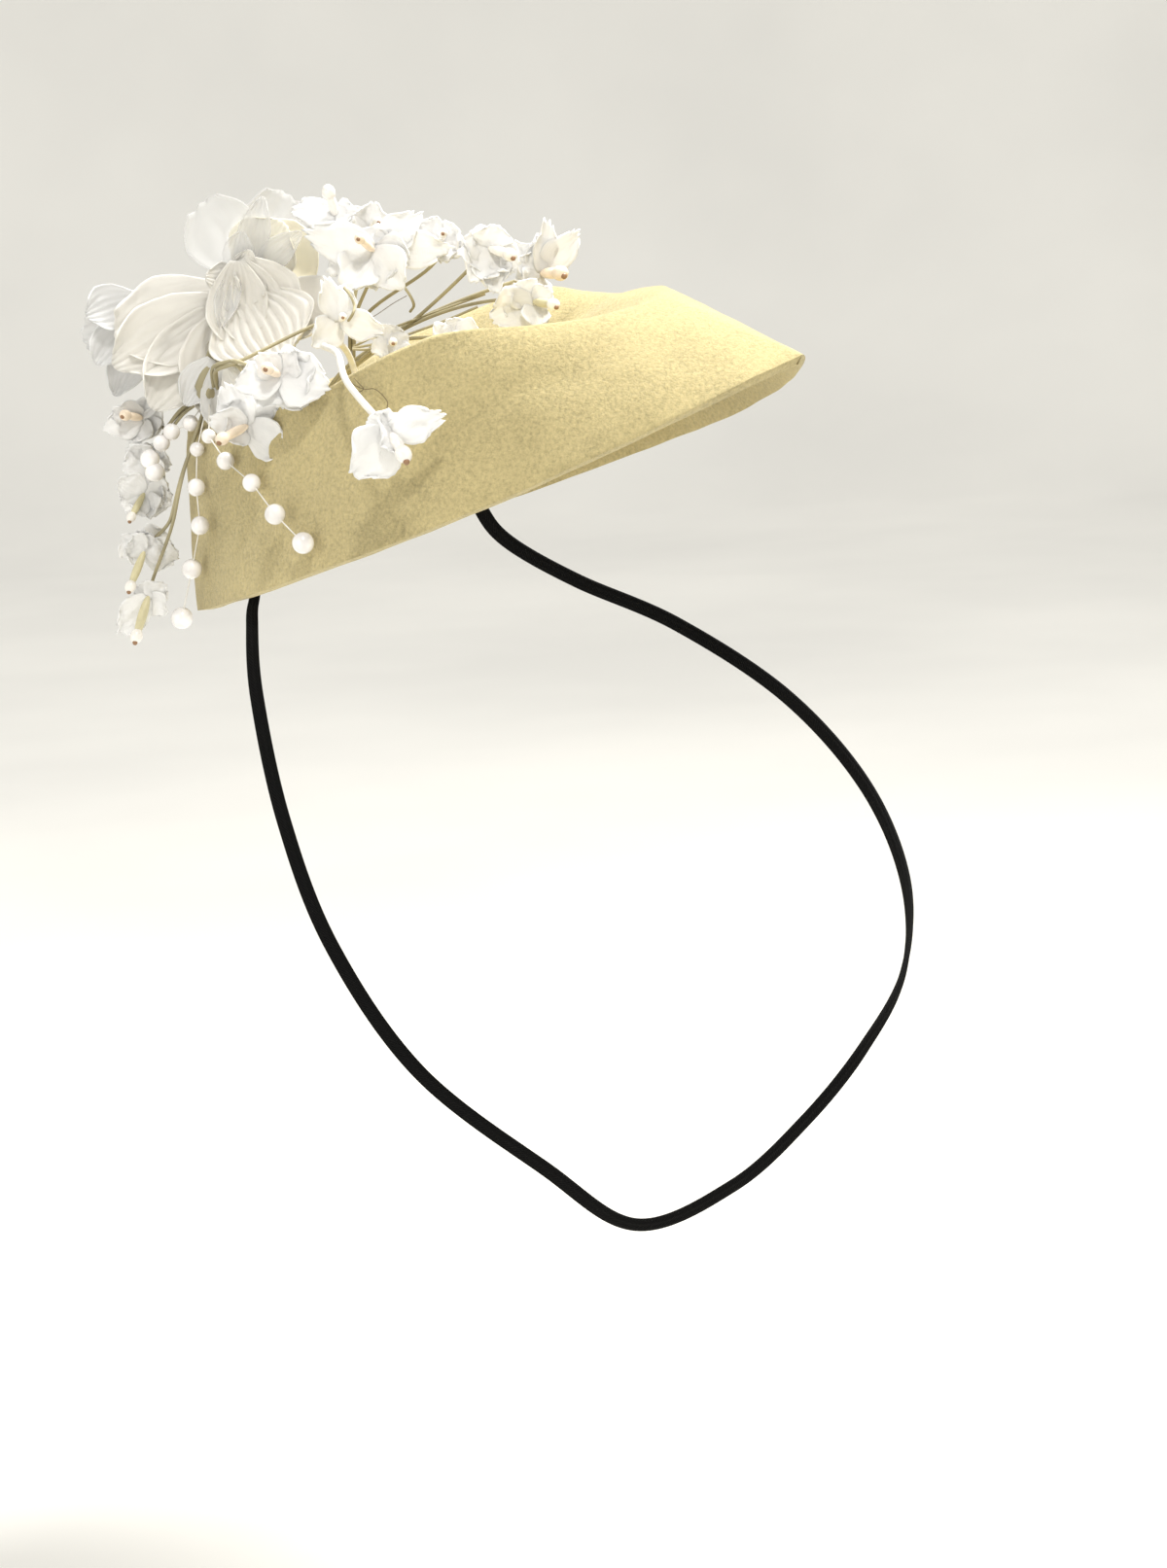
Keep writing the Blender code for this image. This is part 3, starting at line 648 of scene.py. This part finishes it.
def add_rings(bm, segments, rings, point):
    """Rings of vertices joined by faces, each vertex put where point(turn, ring) says.

    Returns the last ring's edges.
    """
    turn_of = bm.verts.layers.float.get("turn") or bm.verts.layers.float.new("turn")
    ring_of = bm.verts.layers.float.get("ring") or bm.verts.layers.float.new("ring")
    made = bmesh.ops.create_circle(bm, segments=segments, radius=1)["verts"]
    for vert in made:
        vert[turn_of] = math.atan2(vert.co.y, vert.co.x)
    everything = list(made)
    edges = list({edge for vert in made for edge in vert.link_edges})
    for ring in range(1, rings):
        made = bmesh.ops.extrude_edge_only(bm, edges=edges)["geom"]
        fresh = {item for item in made if isinstance(item, bmesh.types.BMVert)}
        for vert in fresh:
            vert[ring_of] = ring
        everything += fresh
        edges = [
            item for item in made
            if isinstance(item, bmesh.types.BMEdge) and fresh.issuperset(item.verts)
        ]
    for vert in everything:
        vert.co = point(vert[turn_of], round(vert[ring_of]))
    return edges


def curve_piece(name, lines, look, nodes, sides_step=2):
    """Round tubes along lines of (points, radii), kept as one curve piece."""
    curve = bpy.data.curves.new(name, "CURVE")
    curve.dimensions = "3D"
    curve.bevel_depth = 1.0
    curve.bevel_resolution = sides_step
    curve.use_fill_caps = True
    for points, radii in lines:
        spline = curve.splines.new("POLY")
        spline.points.add(len(points) - 1)
        for spot, point, radius in zip(spline.points, points, radii):
            spot.co = (*point, 1)
            spot.radius = radius
    curve.materials.append(look)
    made = bpy.data.objects.new(name, curve)
    bpy.context.scene.collection.objects.link(made)
    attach(made, "root")
    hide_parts(*nodes)


# Felt


def ease(share):
    """Smooth step from 0 to 1."""
    share = min(1.0, max(0.0, share))
    return share * share * (3 - 2 * share)


def power(value, exponent):
    """The value raised to an exponent, with its sign kept."""
    return math.copysign(abs(value) ** exponent, value)


def outline(turn, front, back, half_width, back_length_power, back_width_power):
    """A point (across, along) of a teardrop: blunt at the front, pointed at the back."""
    along, across = math.cos(turn), math.sin(turn)
    if along < 0:
        return half_width * power(across, 2 / FRONT_POWER), front * power(along, 2 / FRONT_POWER)
    return (
        half_width * power(across, 2 / back_width_power),
        back * power(along, 2 / back_length_power),
    )


def ridge_height(along, side):
    """Height of the ridge at a share of its length; side is 1 on the near side and 0 on the far."""
    for first, last in zip(RIDGE_PROFILE, RIDGE_PROFILE[1:]):
        if along <= last[0]:
            break
    blend = ease((along - first[0]) / (last[0] - first[0]))
    near = first[1] + (last[1] - first[1]) * blend
    far = first[2] + (last[2] - first[2]) * blend
    return CROWN_HEIGHT * (near * side + far * (1 - side))


def felt_profile(turn):
    """The felt's line at one turn, from the rim over the ridge to the centre of the dent."""
    rim_x, rim_y = outline(turn, RIM_FRONT, RIM_BACK, RIM_HALF_WIDTH, *RIM_POWERS)
    ridge_x, ridge_y = outline(turn, RIDGE_FRONT, RIDGE_BACK, RIDGE_HALF_WIDTH, *RIDGE_POWERS)
    sag = RIM_SAG if rim_x > 0 else 0.3 * RIM_SAG
    rim_z = -sag * (rim_x / RIM_HALF_WIDTH) ** 2 + TIP_RISE * max(0.0, rim_y / RIM_BACK) ** 3
    side = ease(0.5 + 0.5 * ridge_x / RIDGE_HALF_WIDTH)
    height = ridge_height((ridge_y + RIDGE_FRONT) / (RIDGE_FRONT + RIDGE_BACK), side)
    rim, ridge = Vector((rim_x, rim_y, rim_z)), Vector((ridge_x, ridge_y, height))
    dent = Vector((0, DENT_CENTRE * RIM_FRONT, DENT_HEIGHT))
    line = []
    for inward, rise in WALL_RINGS:
        spot = rim.lerp(ridge, inward)
        spot.z = rim_z + (height - rim_z) * rise
        line.append(spot)
    for inward, fall in TOP_RINGS:
        spot = ridge.lerp(dent, inward)
        spot.z = height + (DENT_HEIGHT - height) * fall
        line.append(spot)
    return line


def felt_body():
    """The felt, pressed over a block: its wall, the ridge and the dent, with a cut rim."""
    lines = {}

    def point(turn, ring):
        if turn not in lines:
            lines[turn] = smooth_route(felt_profile(turn), FELT_STEPS)
        return lines[turn][ring]

    rings = (len(WALL_RINGS) + len(TOP_RINGS) - 1) * FELT_STEPS + 1
    bm = bmesh.new()
    edges = add_rings(bm, FELT_SEGMENTS, rings, point)
    centre = [vert for edge in edges for vert in edge.verts]
    bmesh.ops.pointmerge(bm, verts=list(set(centre)), merge_co=point(0.0, rings - 1))
    bmesh.ops.recalc_face_normals(bm, faces=bm.faces)
    if sum(face.normal.z * face.calc_area() for face in bm.faces) < 0:
        bmesh.ops.reverse_faces(bm, faces=bm.faces)
    bm.normal_update()
    lumps = {}
    for vert in bm.verts:
        lumps[vert] = vert.normal * LUMP_DEPTH * noise.fractal(vert.co * LUMP_SCALE, 1.0, 2.0, 3)
    for vert, lump in lumps.items():
        vert.co += lump
    bmesh.ops.transform(bm, matrix=HAT, verts=bm.verts)
    felt = finish_piece("felt_shell", bm, [felt_material()], ["felt_body"])
    thicken(felt, sizes().felt_thickness, -1, even=True)
    edge = felt.modifiers.new("Cut edge", "BEVEL")
    edge.width = CUT_EDGE
    edge.segments = 2
    edge.limit_method = "ANGLE"
    edge.angle_limit = math.radians(50)


# Petals


def add_petal(bm, root, tip, face, width, seed, *, across, along, ruffle, taper, blunt,
              cup=0.0, curl=0.1, pleats=0, pleat_depth=0.0, vein=0.0, ragged=0.0):
    """One petal from its root to its tip, a sheet with a UV map, turned to face a way.

    Across and along count its faces, taper shapes its sides, blunt squares its tip, and the rest
    say how far it leaves a flat sheet, in shares of its own length and width.
    """
    bm.loops.layers.uv.verify()
    made = bmesh.ops.create_grid(bm, x_segments=across, y_segments=along, size=1, calc_uvs=True)
    place = stood(root, face, tip - root)
    length = (tip - root).length
    lean = noise.noise(Vector((seed * 3.7, 0.4, 1.9)))
    for vert in made["verts"]:
        side, reach = vert.co.x, (vert.co.y + 1) / 2
        low, span, exponent = taper
        half = width / 2 * max(0.10, math.sin(math.pi * (low + span * reach)) ** exponent)
        wave = noise.fractal(Vector((side * 1.2 + seed, reach * 2.0, seed * 0.7)), 0.8, 2.0, 3)
        fold = abs(((pleats * (side + 1) / 2) % 1) * 2 - 1) if pleats else 0.0
        vert.co = place @ Vector((
            side * half * (1 + 0.10 * wave) + lean * 0.10 * width * reach * (1 - reach),
            length * (reach - blunt * side ** 2 * reach ** 2
                      + ragged * reach ** 3 * noise.noise(Vector((side * 4.5 + seed, seed, 0)))),
            cup * length * (2 * reach * (reach - 1) + 0.4 * side ** 2 * reach)
            + curl * length * (side ** 2 * reach * (0.6 + lean) + 0.5 * lean * reach ** 3)
            + pleat_depth * width * (fold - 0.5) * (0.3 + 0.7 * reach)
            + ruffle * width * wave * reach - vein * width * (1 - abs(side)) ** 2 * reach,
        ))


def small_blossoms():
    """The small cloth blossoms, each with its petals and its stamen."""
    cloth = cloth_material("Blossom cotton", tuple(colours().petal), 14.0, glow=0.3)
    stamens = [
        plain_material("Peach stamen", (0.92, 0.78, 0.62), 0.25, 500.0),
        plain_material("White stamen", (0.90, 0.87, 0.82), 0.20, 500.0),
        plain_material("Olive stamen", (0.62, 0.57, 0.36), 0.40, 500.0),
        # The brown one is the dot at each stamen's tip: partly its brownish tip, partly a painted
        # dark reflection
        plain_material("Brown stamen", (0.30, 0.17, 0.09), 0.35, 500.0),
    ]
    body_of = {"peach": 0, "white": 1, "olive": 2, "brown": 1}
    for rank, (name, centre, turn, rise, petals, stamen, kind, layers) in enumerate(BLOSSOMS):
        axis = facing(turn, rise)
        heart = Vector(centre) * MILLIMETRE
        face = axis * 0.5 + TOWARD * 0.5
        bm = bmesh.new()
        for layer in range(layers):
            lean = Matrix.Rotation(LAYER_TURN * layer, 3, TOWARD)
            for place, (right, up, toward, width) in enumerate(petals):
                out = lean @ in_view(right, up, toward) * (1 - LAYER_SHRINK * layer)
                root = heart - axis * (PETAL_DROP * (place % 2) + LAYER_DROP * layer)
                add_petal(bm, root, heart + out - axis * LAYER_TIP_DROP * layer, face,
                          1.1 * width * MILLIMETRE, 5.3 * rank + 1.7 * place + 11 * layer,
                          across=18, along=16, curl=0.16, ruffle=0.12, vein=0.06, ragged=0.13,
                          taper=(0.06, 0.80, 0.6), blunt=0.26)
        petal = finish_piece("petals_" + name, bm, [cloth], ["blossom_" + name])
        thicken(petal, sizes().petal_thickness, 0, even=False)

        out, bead = in_view(*stamen[:3]), stamen[3] * MILLIMETRE
        along = out.normalized()
        bm = bmesh.new()
        body = body_of[kind]
        tail = 0.75 * bead
        add_ball(bm, heart + out * 0.5, tail, max(1.3, 0.55 * out.length / tail), along, 14, body)
        add_ball(bm, heart + out, bead, 1.2, along, 16, 0 if kind == "peach" else 1)
        # Brown dot at the bead's tip, set towards the camera and down: partly the stamen's brownish
        # tip, partly a painted dark reflection on the glossy bead
        add_ball(bm, heart + out + (along - UP * 0.5 + TOWARD * 0.5) * 0.7 * bead, 0.42 * bead, 1.0,
                 along, 9, 3)
        finish_piece("stamen_" + name, bm, stamens, ["blossom_" + name])


def large_bloom():
    """The large pleated petals round the heart of the spray."""
    cloths = {
        "satin": cloth_material("Pleated satin", tuple(colours().satin), 60.0, glow=0.3),
        "cream": cloth_material("Cream satin", (0.98, 0.91, 0.74), 60.0, glow=0.3),
        "sheer": cloth_material("Sheer organza", (0.98, 0.98, 0.97), 70.0, alpha=0.34),
        "white": cloth_material("Crumpled organza", (0.98, 0.98, 0.97), 70.0, alpha=0.75),
    }
    heart = in_hat(*HEART)
    for rank, row in enumerate(BLOOM_PETALS):
        name, tip, turn, rise, layer, width, cup, pleats, depth, cloth = row
        tip, front = in_hat(*tip), facing(turn, rise)
        root = heart + ((tip - heart).normalized() + front * layer).normalized() * PETAL_SEAT
        bm = bmesh.new()
        add_petal(bm, root, tip, front, width, 20 + 3.1 * rank, across=max(20, 6 * pleats),
                  along=18, cup=cup, curl=0.0, pleats=pleats, pleat_depth=depth, ruffle=0.05,
                  taper=(0.03, 0.83, 0.8), blunt=0.12)
        petal = finish_piece(
            "petal_" + name, bm, [cloths[cloth]], ["bloom_" + name])
        thicken(petal, sizes().petal_thickness, 0, even=False)
    for name, solid, cloth, rows in BLOOM_LAYERS:
        bm = bmesh.new()
        for rank, (start, end, width, cup) in enumerate(rows):
            root, tip = heart + in_view(*start), heart + in_view(*end)
            add_petal(bm, root, tip, TOWARD + UP * 0.2, width * MILLIMETRE, 60 + 2.3 * rank,
                      across=30, along=20, cup=cup, pleats=7, pleat_depth=0.04, ruffle=0.07,
                      taper=(0.05, 0.83, 0.8), blunt=0.12)
        layer = finish_piece(name, bm, [cloths[cloth]], [solid])
        thicken(layer, sizes().petal_thickness, 0, even=False)


def bloom_stalk():
    """The wrapped stalk, with the knot that the strands hang from and the heart of the bloom."""
    foot, knot, heart = in_hat(*STALK_FOOT), in_hat(*KNOT), in_hat(*HEART)
    points, radii = [foot], [STALK_RADIUS]
    for centre, radius in ((knot, KNOT_RADIUS), (heart, HEART_RADIUS)):
        lead = (centre - points[-1]).normalized()
        for step in range(-9, 10):
            share = step / 9.3
            points.append(centre + lead * radius * share)
            radii.append(max(STALK_RADIUS, radius * math.sqrt(1 - share ** 2)))
    curve_piece("wrapped_stalk", [(points, radii)], wire_material(), ["bloom_stalk"],
                sides_step=6)


# Wires


def blossom_back(name):
    """Where a wire ends behind a blossom, and which way the blossom faces."""
    row = next(row for row in BLOSSOMS if row[0] == name)
    axis = facing(row[2], row[3])
    return Vector(row[1]) * MILLIMETRE - axis * WIRE_END, axis


def wire_sprays():
    """Paper wrapped wires that run side by side up each trunk and part for their blossoms."""
    look = wire_material()
    radius = sizes().wire_radius
    for name, trunk, carried in SPRAYS:
        line = smooth_route([in_hat(*place) for place in trunk], 6)
        lead = (line[-1] - line[-2]).normalized()
        side = lead.cross(UP).normalized()
        over = side.cross(lead)
        lines = []
        for rank, target in enumerate(carried):
            points = []
            for step, point in enumerate(line):
                turn = 2 * math.pi * rank / len(carried) + 0.12 * step
                ring = radius * (0.9 if len(carried) < 3 else 1.5)
                points.append(point + (side * math.cos(turn) + over * math.sin(turn)) * ring)
            stop, axis = blossom_back(target)
            reach = (stop - points[-1]).length / 3
            points += interpolate_bezier(
                points[-1], points[-1] + lead * reach, stop - axis * reach, stop, 18)[1:]
            lines.append((points, [radius] * len(points)))
        curve_piece(name.replace("spray", "wires"), lines, look, [name])


def white_stem():
    """The thick white stem that comes over the near ridge."""
    stop, _ = blossom_back("hanging")
    points = smooth_route([in_hat(*place) for place in WHITE_STEM] + [stop], 8)
    look = plain_material("White stem", (0.86, 0.84, 0.78), 0.55, 300.0)
    curve_piece("stem_white", [(points, [sizes().stem_radius] * len(points))], look,
                ["spray_white_stem"], sides_step=3)


def loose_ends():
    """Short bare wire ends beside the sprays, and fine brown threads that have worked loose."""
    heart = in_hat(*HEART)
    radius = sizes().wire_radius
    wire = wire_material()
    brown = plain_material("Loose thread", (0.16, 0.12, 0.06), 0.8, 300.0)
    for name, rows, look, thick, solid in (
        ("wire_ends", LOOSE_WIRES, wire, radius * 0.8, "spray_rear"),
        ("thread_ends", LOOSE_THREADS, brown, radius * 0.2, "spray_white_stem"),
    ):
        lines = []
        for row in rows:
            points = smooth_route([heart + in_view(*step) for step in row], 8)
            lines.append((points, [thick] * len(points)))
        curve_piece(name, lines, look, [solid], sides_step=1)


# Pearls and elastic


def pearl_strands():
    """Pearls on a clear thread, down from the knot."""
    lustre = pearl_material()
    clear = plain_material("Clear thread", (0.80, 0.78, 0.72), 0.3, 400.0)
    for name, pearls in STRANDS:
        centres = [in_hat(*pearl[:3]) for pearl in pearls]
        bm = bmesh.new()
        for centre, pearl in zip(centres, pearls):
            add_ball(bm, centre, pearl[3], 1.0, Vector((0.2, 0.3, 1)), 24, 0)
        finish_piece("pearls_" + name, bm, [lustre], ["pearl_strand_" + name])
        points = [in_hat(*KNOT), *centres]
        curve_piece("thread_" + name, [(points, [sizes().thread_radius] * len(points))], clear,
                    ["pearl_strand_" + name], sides_step=1)


def elastic_loop():
    """The flat braided elastic, one loop from inner wall to inner wall."""
    route = smooth_route([Vector(point) * MILLIMETRE for point in ELASTIC_ROUTE], ELASTIC_STEPS)
    middle = sum(route, Vector()) / len(route)
    half_width, half_depth = sizes().elastic_width / 2, sizes().elastic_depth / 2
    lengths = [0.0]
    for first, last in zip(route, route[1:]):
        lengths.append(lengths[-1] + (last - first).length)
    frames = []
    for ring, point in enumerate(route):
        ahead = (route[min(ring + 1, len(route) - 1)] - route[max(ring - 1, 0)]).normalized()
        out = point - middle
        frames.append(stood(point, out + TOWARD * out.dot(TOWARD) * FACE_CAMERA, ahead))

    def place(turn, ring):
        rib = 1 + RIB_HEIGHT * math.cos(RIBS * turn)
        across = power(math.cos(turn), SECTION_POWER) * half_width
        deep = power(math.sin(turn), SECTION_POWER) * half_depth * rib
        return frames[ring] @ Vector((across, 0, deep))

    bm = bmesh.new()
    edges = add_rings(bm, ELASTIC_SEGMENTS, len(route), place)
    along_of = bm.verts.layers.float.new("along")
    around_of = bm.verts.layers.float.new("around")
    ring_of = bm.verts.layers.float["ring"]
    turn_of = bm.verts.layers.float["turn"]
    for vert in bm.verts:
        vert[along_of] = lengths[round(vert[ring_of])]
        vert[around_of] = math.cos(vert[turn_of])
    bmesh.ops.holes_fill(bm, edges=[edge for edge in bm.edges if edge.is_boundary], sides=0)
    bmesh.ops.recalc_face_normals(bm, faces=bm.faces)
    loop = finish_piece("elastic_loop", bm, [elastic_material()], ["elastic_cord"])
    tuple(route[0])
    [tuple(point) for point in route]


# Stage


def add_light(name, place, energy, size, colour):
    """A round lamp that shines at the hat and isn't seen itself."""
    lamp = bpy.data.lights.new(name, "AREA")
    lamp.energy = energy
    lamp.color = colour
    lamp.shape = "DISK"
    lamp.size = size
    made = bpy.data.objects.new(name, lamp)
    made.visible_camera = False
    bpy.context.scene.collection.objects.link(made)
    made.matrix_world = Matrix.Translation(place) @ (
        -place).to_track_quat("-Z", "Y").to_matrix().to_4x4()


def backdrop():
    """Pale floor that curves up to a wall all round."""
    line = [(share * FLOOR_RADIUS, 0.0) for share in FLOOR_RINGS]
    for step in range(1, 10):
        turn = math.radians(10 * step)
        line.append((FLOOR_RADIUS + WALL_BEND * math.sin(turn), WALL_BEND * (1 - math.cos(turn))))
    line.append((FLOOR_RADIUS + WALL_BEND, WALL_HEIGHT))
    bm = bmesh.new()
    add_rings(bm, FLOOR_SEGMENTS, len(line), lambda turn, ring: Vector((
        line[ring][0] * math.cos(turn), line[ring][0] * math.sin(turn), line[ring][1] + FLOOR_HEIGHT
    )))
    inner = [edge for edge in bm.edges if edge.is_boundary and edge.verts[0].co.length < 0.5]
    bmesh.ops.holes_fill(bm, edges=inner, sides=0)
    bmesh.ops.recalc_face_normals(bm, faces=bm.faces)
    mesh = bpy.data.meshes.new("floor")
    bm.to_mesh(mesh)
    bm.free()
    paper = plain_material("Pale paper", PAPER_COLOUR, 0.9, 3.0)
    glow = paper.node_tree.nodes["Principled BSDF"]
    glow.inputs["Emission Color"].default_value = (1.0, 0.99, 0.95, 1)
    glow.inputs["Emission Strength"].default_value = PAPER_GLOW
    mesh.materials.append(paper)
    mesh.shade_smooth()
    floor = bpy.data.objects.new("floor", mesh)
    bpy.context.scene.collection.objects.link(floor)


def studio_lights():
    """The lamps and the even light of the room."""
    for name, (right, up, toward), distance, energy, size, colour in LIGHTS:
        way = (RIGHT * right + UP * up + TOWARD * toward).normalized()
        add_light(name, way * distance, energy, size, colour)
    world = bpy.data.worlds.new("Studio")
    world.use_nodes = True
    sky = world.node_tree.nodes["Background"]
    sky.inputs["Color"].default_value = (1.0, 0.99, 0.97, 1)
    sky.inputs["Strength"].default_value = SKY_GLOW
    bpy.context.scene.world = world
    bpy.context.scene.view_settings.view_transform = "Standard"


def camera():
    """The camera, at the photograph's angle."""
    ahead = -TOWARD * math.cos(CAMERA_PITCH) - UP * math.sin(CAMERA_PITCH)
    top = -TOWARD * math.sin(CAMERA_PITCH) + UP * math.cos(CAMERA_PITCH)
    x = RIGHT * math.cos(CAMERA_ROLL) - top * math.sin(CAMERA_ROLL)
    y = RIGHT * math.sin(CAMERA_ROLL) + top * math.cos(CAMERA_ROLL)
    lens = bpy.data.cameras.new("Camera")
    lens.lens = CAMERA_LENS
    made = bpy.data.objects.new("Camera", lens)
    bpy.context.scene.collection.objects.link(made)
    turn = Matrix((x, y, -ahead)).transposed().to_4x4()
    made.matrix_world = Matrix.Translation(CAMERA_PLACE) @ turn
    bpy.context.scene.camera = made


# Add-on


class PERCHER_OT_felt(bpy.types.Operator):
    """Build the felt body"""

    bl_idname = "percher.felt"
    bl_label = "Felt body"

    def execute(self, context):
        felt_body()
        return {"FINISHED"}


class PERCHER_OT_blossoms(bpy.types.Operator):
    """Build the small blossoms with their stamens"""

    bl_idname = "percher.blossoms"
    bl_label = "Small blossoms"

    def execute(self, context):
        small_blossoms()
        return {"FINISHED"}


class PERCHER_OT_bloom(bpy.types.Operator):
    """Build the large pleated petals and their stalk"""

    bl_idname = "percher.bloom"
    bl_label = "Large bloom"

    def execute(self, context):
        large_bloom()
        bloom_stalk()
        return {"FINISHED"}


class PERCHER_OT_wires(bpy.types.Operator):
    """Build the wrapped wires, the white stem and the loose ends"""

    bl_idname = "percher.wires"
    bl_label = "Wires"

    def execute(self, context):
        wire_sprays()
        white_stem()
        loose_ends()
        return {"FINISHED"}


class PERCHER_OT_pearls(bpy.types.Operator):
    """Build the pearl strands"""

    bl_idname = "percher.pearls"
    bl_label = "Pearl strands"

    def execute(self, context):
        pearl_strands()
        return {"FINISHED"}


class PERCHER_OT_elastic(bpy.types.Operator):
    """Build the elastic loop"""

    bl_idname = "percher.elastic"
    bl_label = "Elastic loop"

    def execute(self, context):
        elastic_loop()
        return {"FINISHED"}


class PERCHER_OT_stage(bpy.types.Operator):
    """Build the floor, the lights and the camera"""

    bl_idname = "percher.stage"
    bl_label = "Stage"

    def execute(self, context):
        backdrop()
        studio_lights()
        camera()
        return {"FINISHED"}


OPERATORS = (
    PERCHER_OT_felt, PERCHER_OT_blossoms, PERCHER_OT_bloom, PERCHER_OT_wires,
    PERCHER_OT_pearls, PERCHER_OT_elastic, PERCHER_OT_stage,
)


class PERCHER_PT_panel(bpy.types.Panel):
    """Sizes, colours and pieces of the hat"""

    bl_idname = "PERCHER_PT_panel"
    bl_label = "Felt percher hat"
    bl_space_type = "VIEW_3D"
    bl_region_type = "UI"
    bl_category = "Hat"

    def draw(self, context):
        for title, group in (("Sizes", sizes()), ("Colours", colours())):
            box = self.layout.box()
            box.label(text=title)
            for name in group.bl_rna.properties.keys():
                if name not in ("rna_type", "name"):
                    box.prop(group, name)
        for operator in OPERATORS:
            self.layout.operator(operator.bl_idname)


CLASSES = (HatSizes, HatColours, *OPERATORS, PERCHER_PT_panel)


def register():
    for item in CLASSES:
        bpy.utils.register_class(item)
    bpy.types.Scene.percher_sizes = bpy.props.PointerProperty(type=HatSizes)
    bpy.types.Scene.percher_colours = bpy.props.PointerProperty(type=HatColours)


def unregister():
    del bpy.types.Scene.percher_colours
    del bpy.types.Scene.percher_sizes
    for item in reversed(CLASSES):
        bpy.utils.unregister_class(item)


def main():
    register()
    bpy.ops.percher.felt()
    bpy.ops.percher.blossoms()
    bpy.ops.percher.bloom()
    bpy.ops.percher.wires()
    bpy.ops.percher.pearls()
    bpy.ops.percher.elastic()
    bpy.ops.percher.stage()


if __name__ == "__main__":
    main()
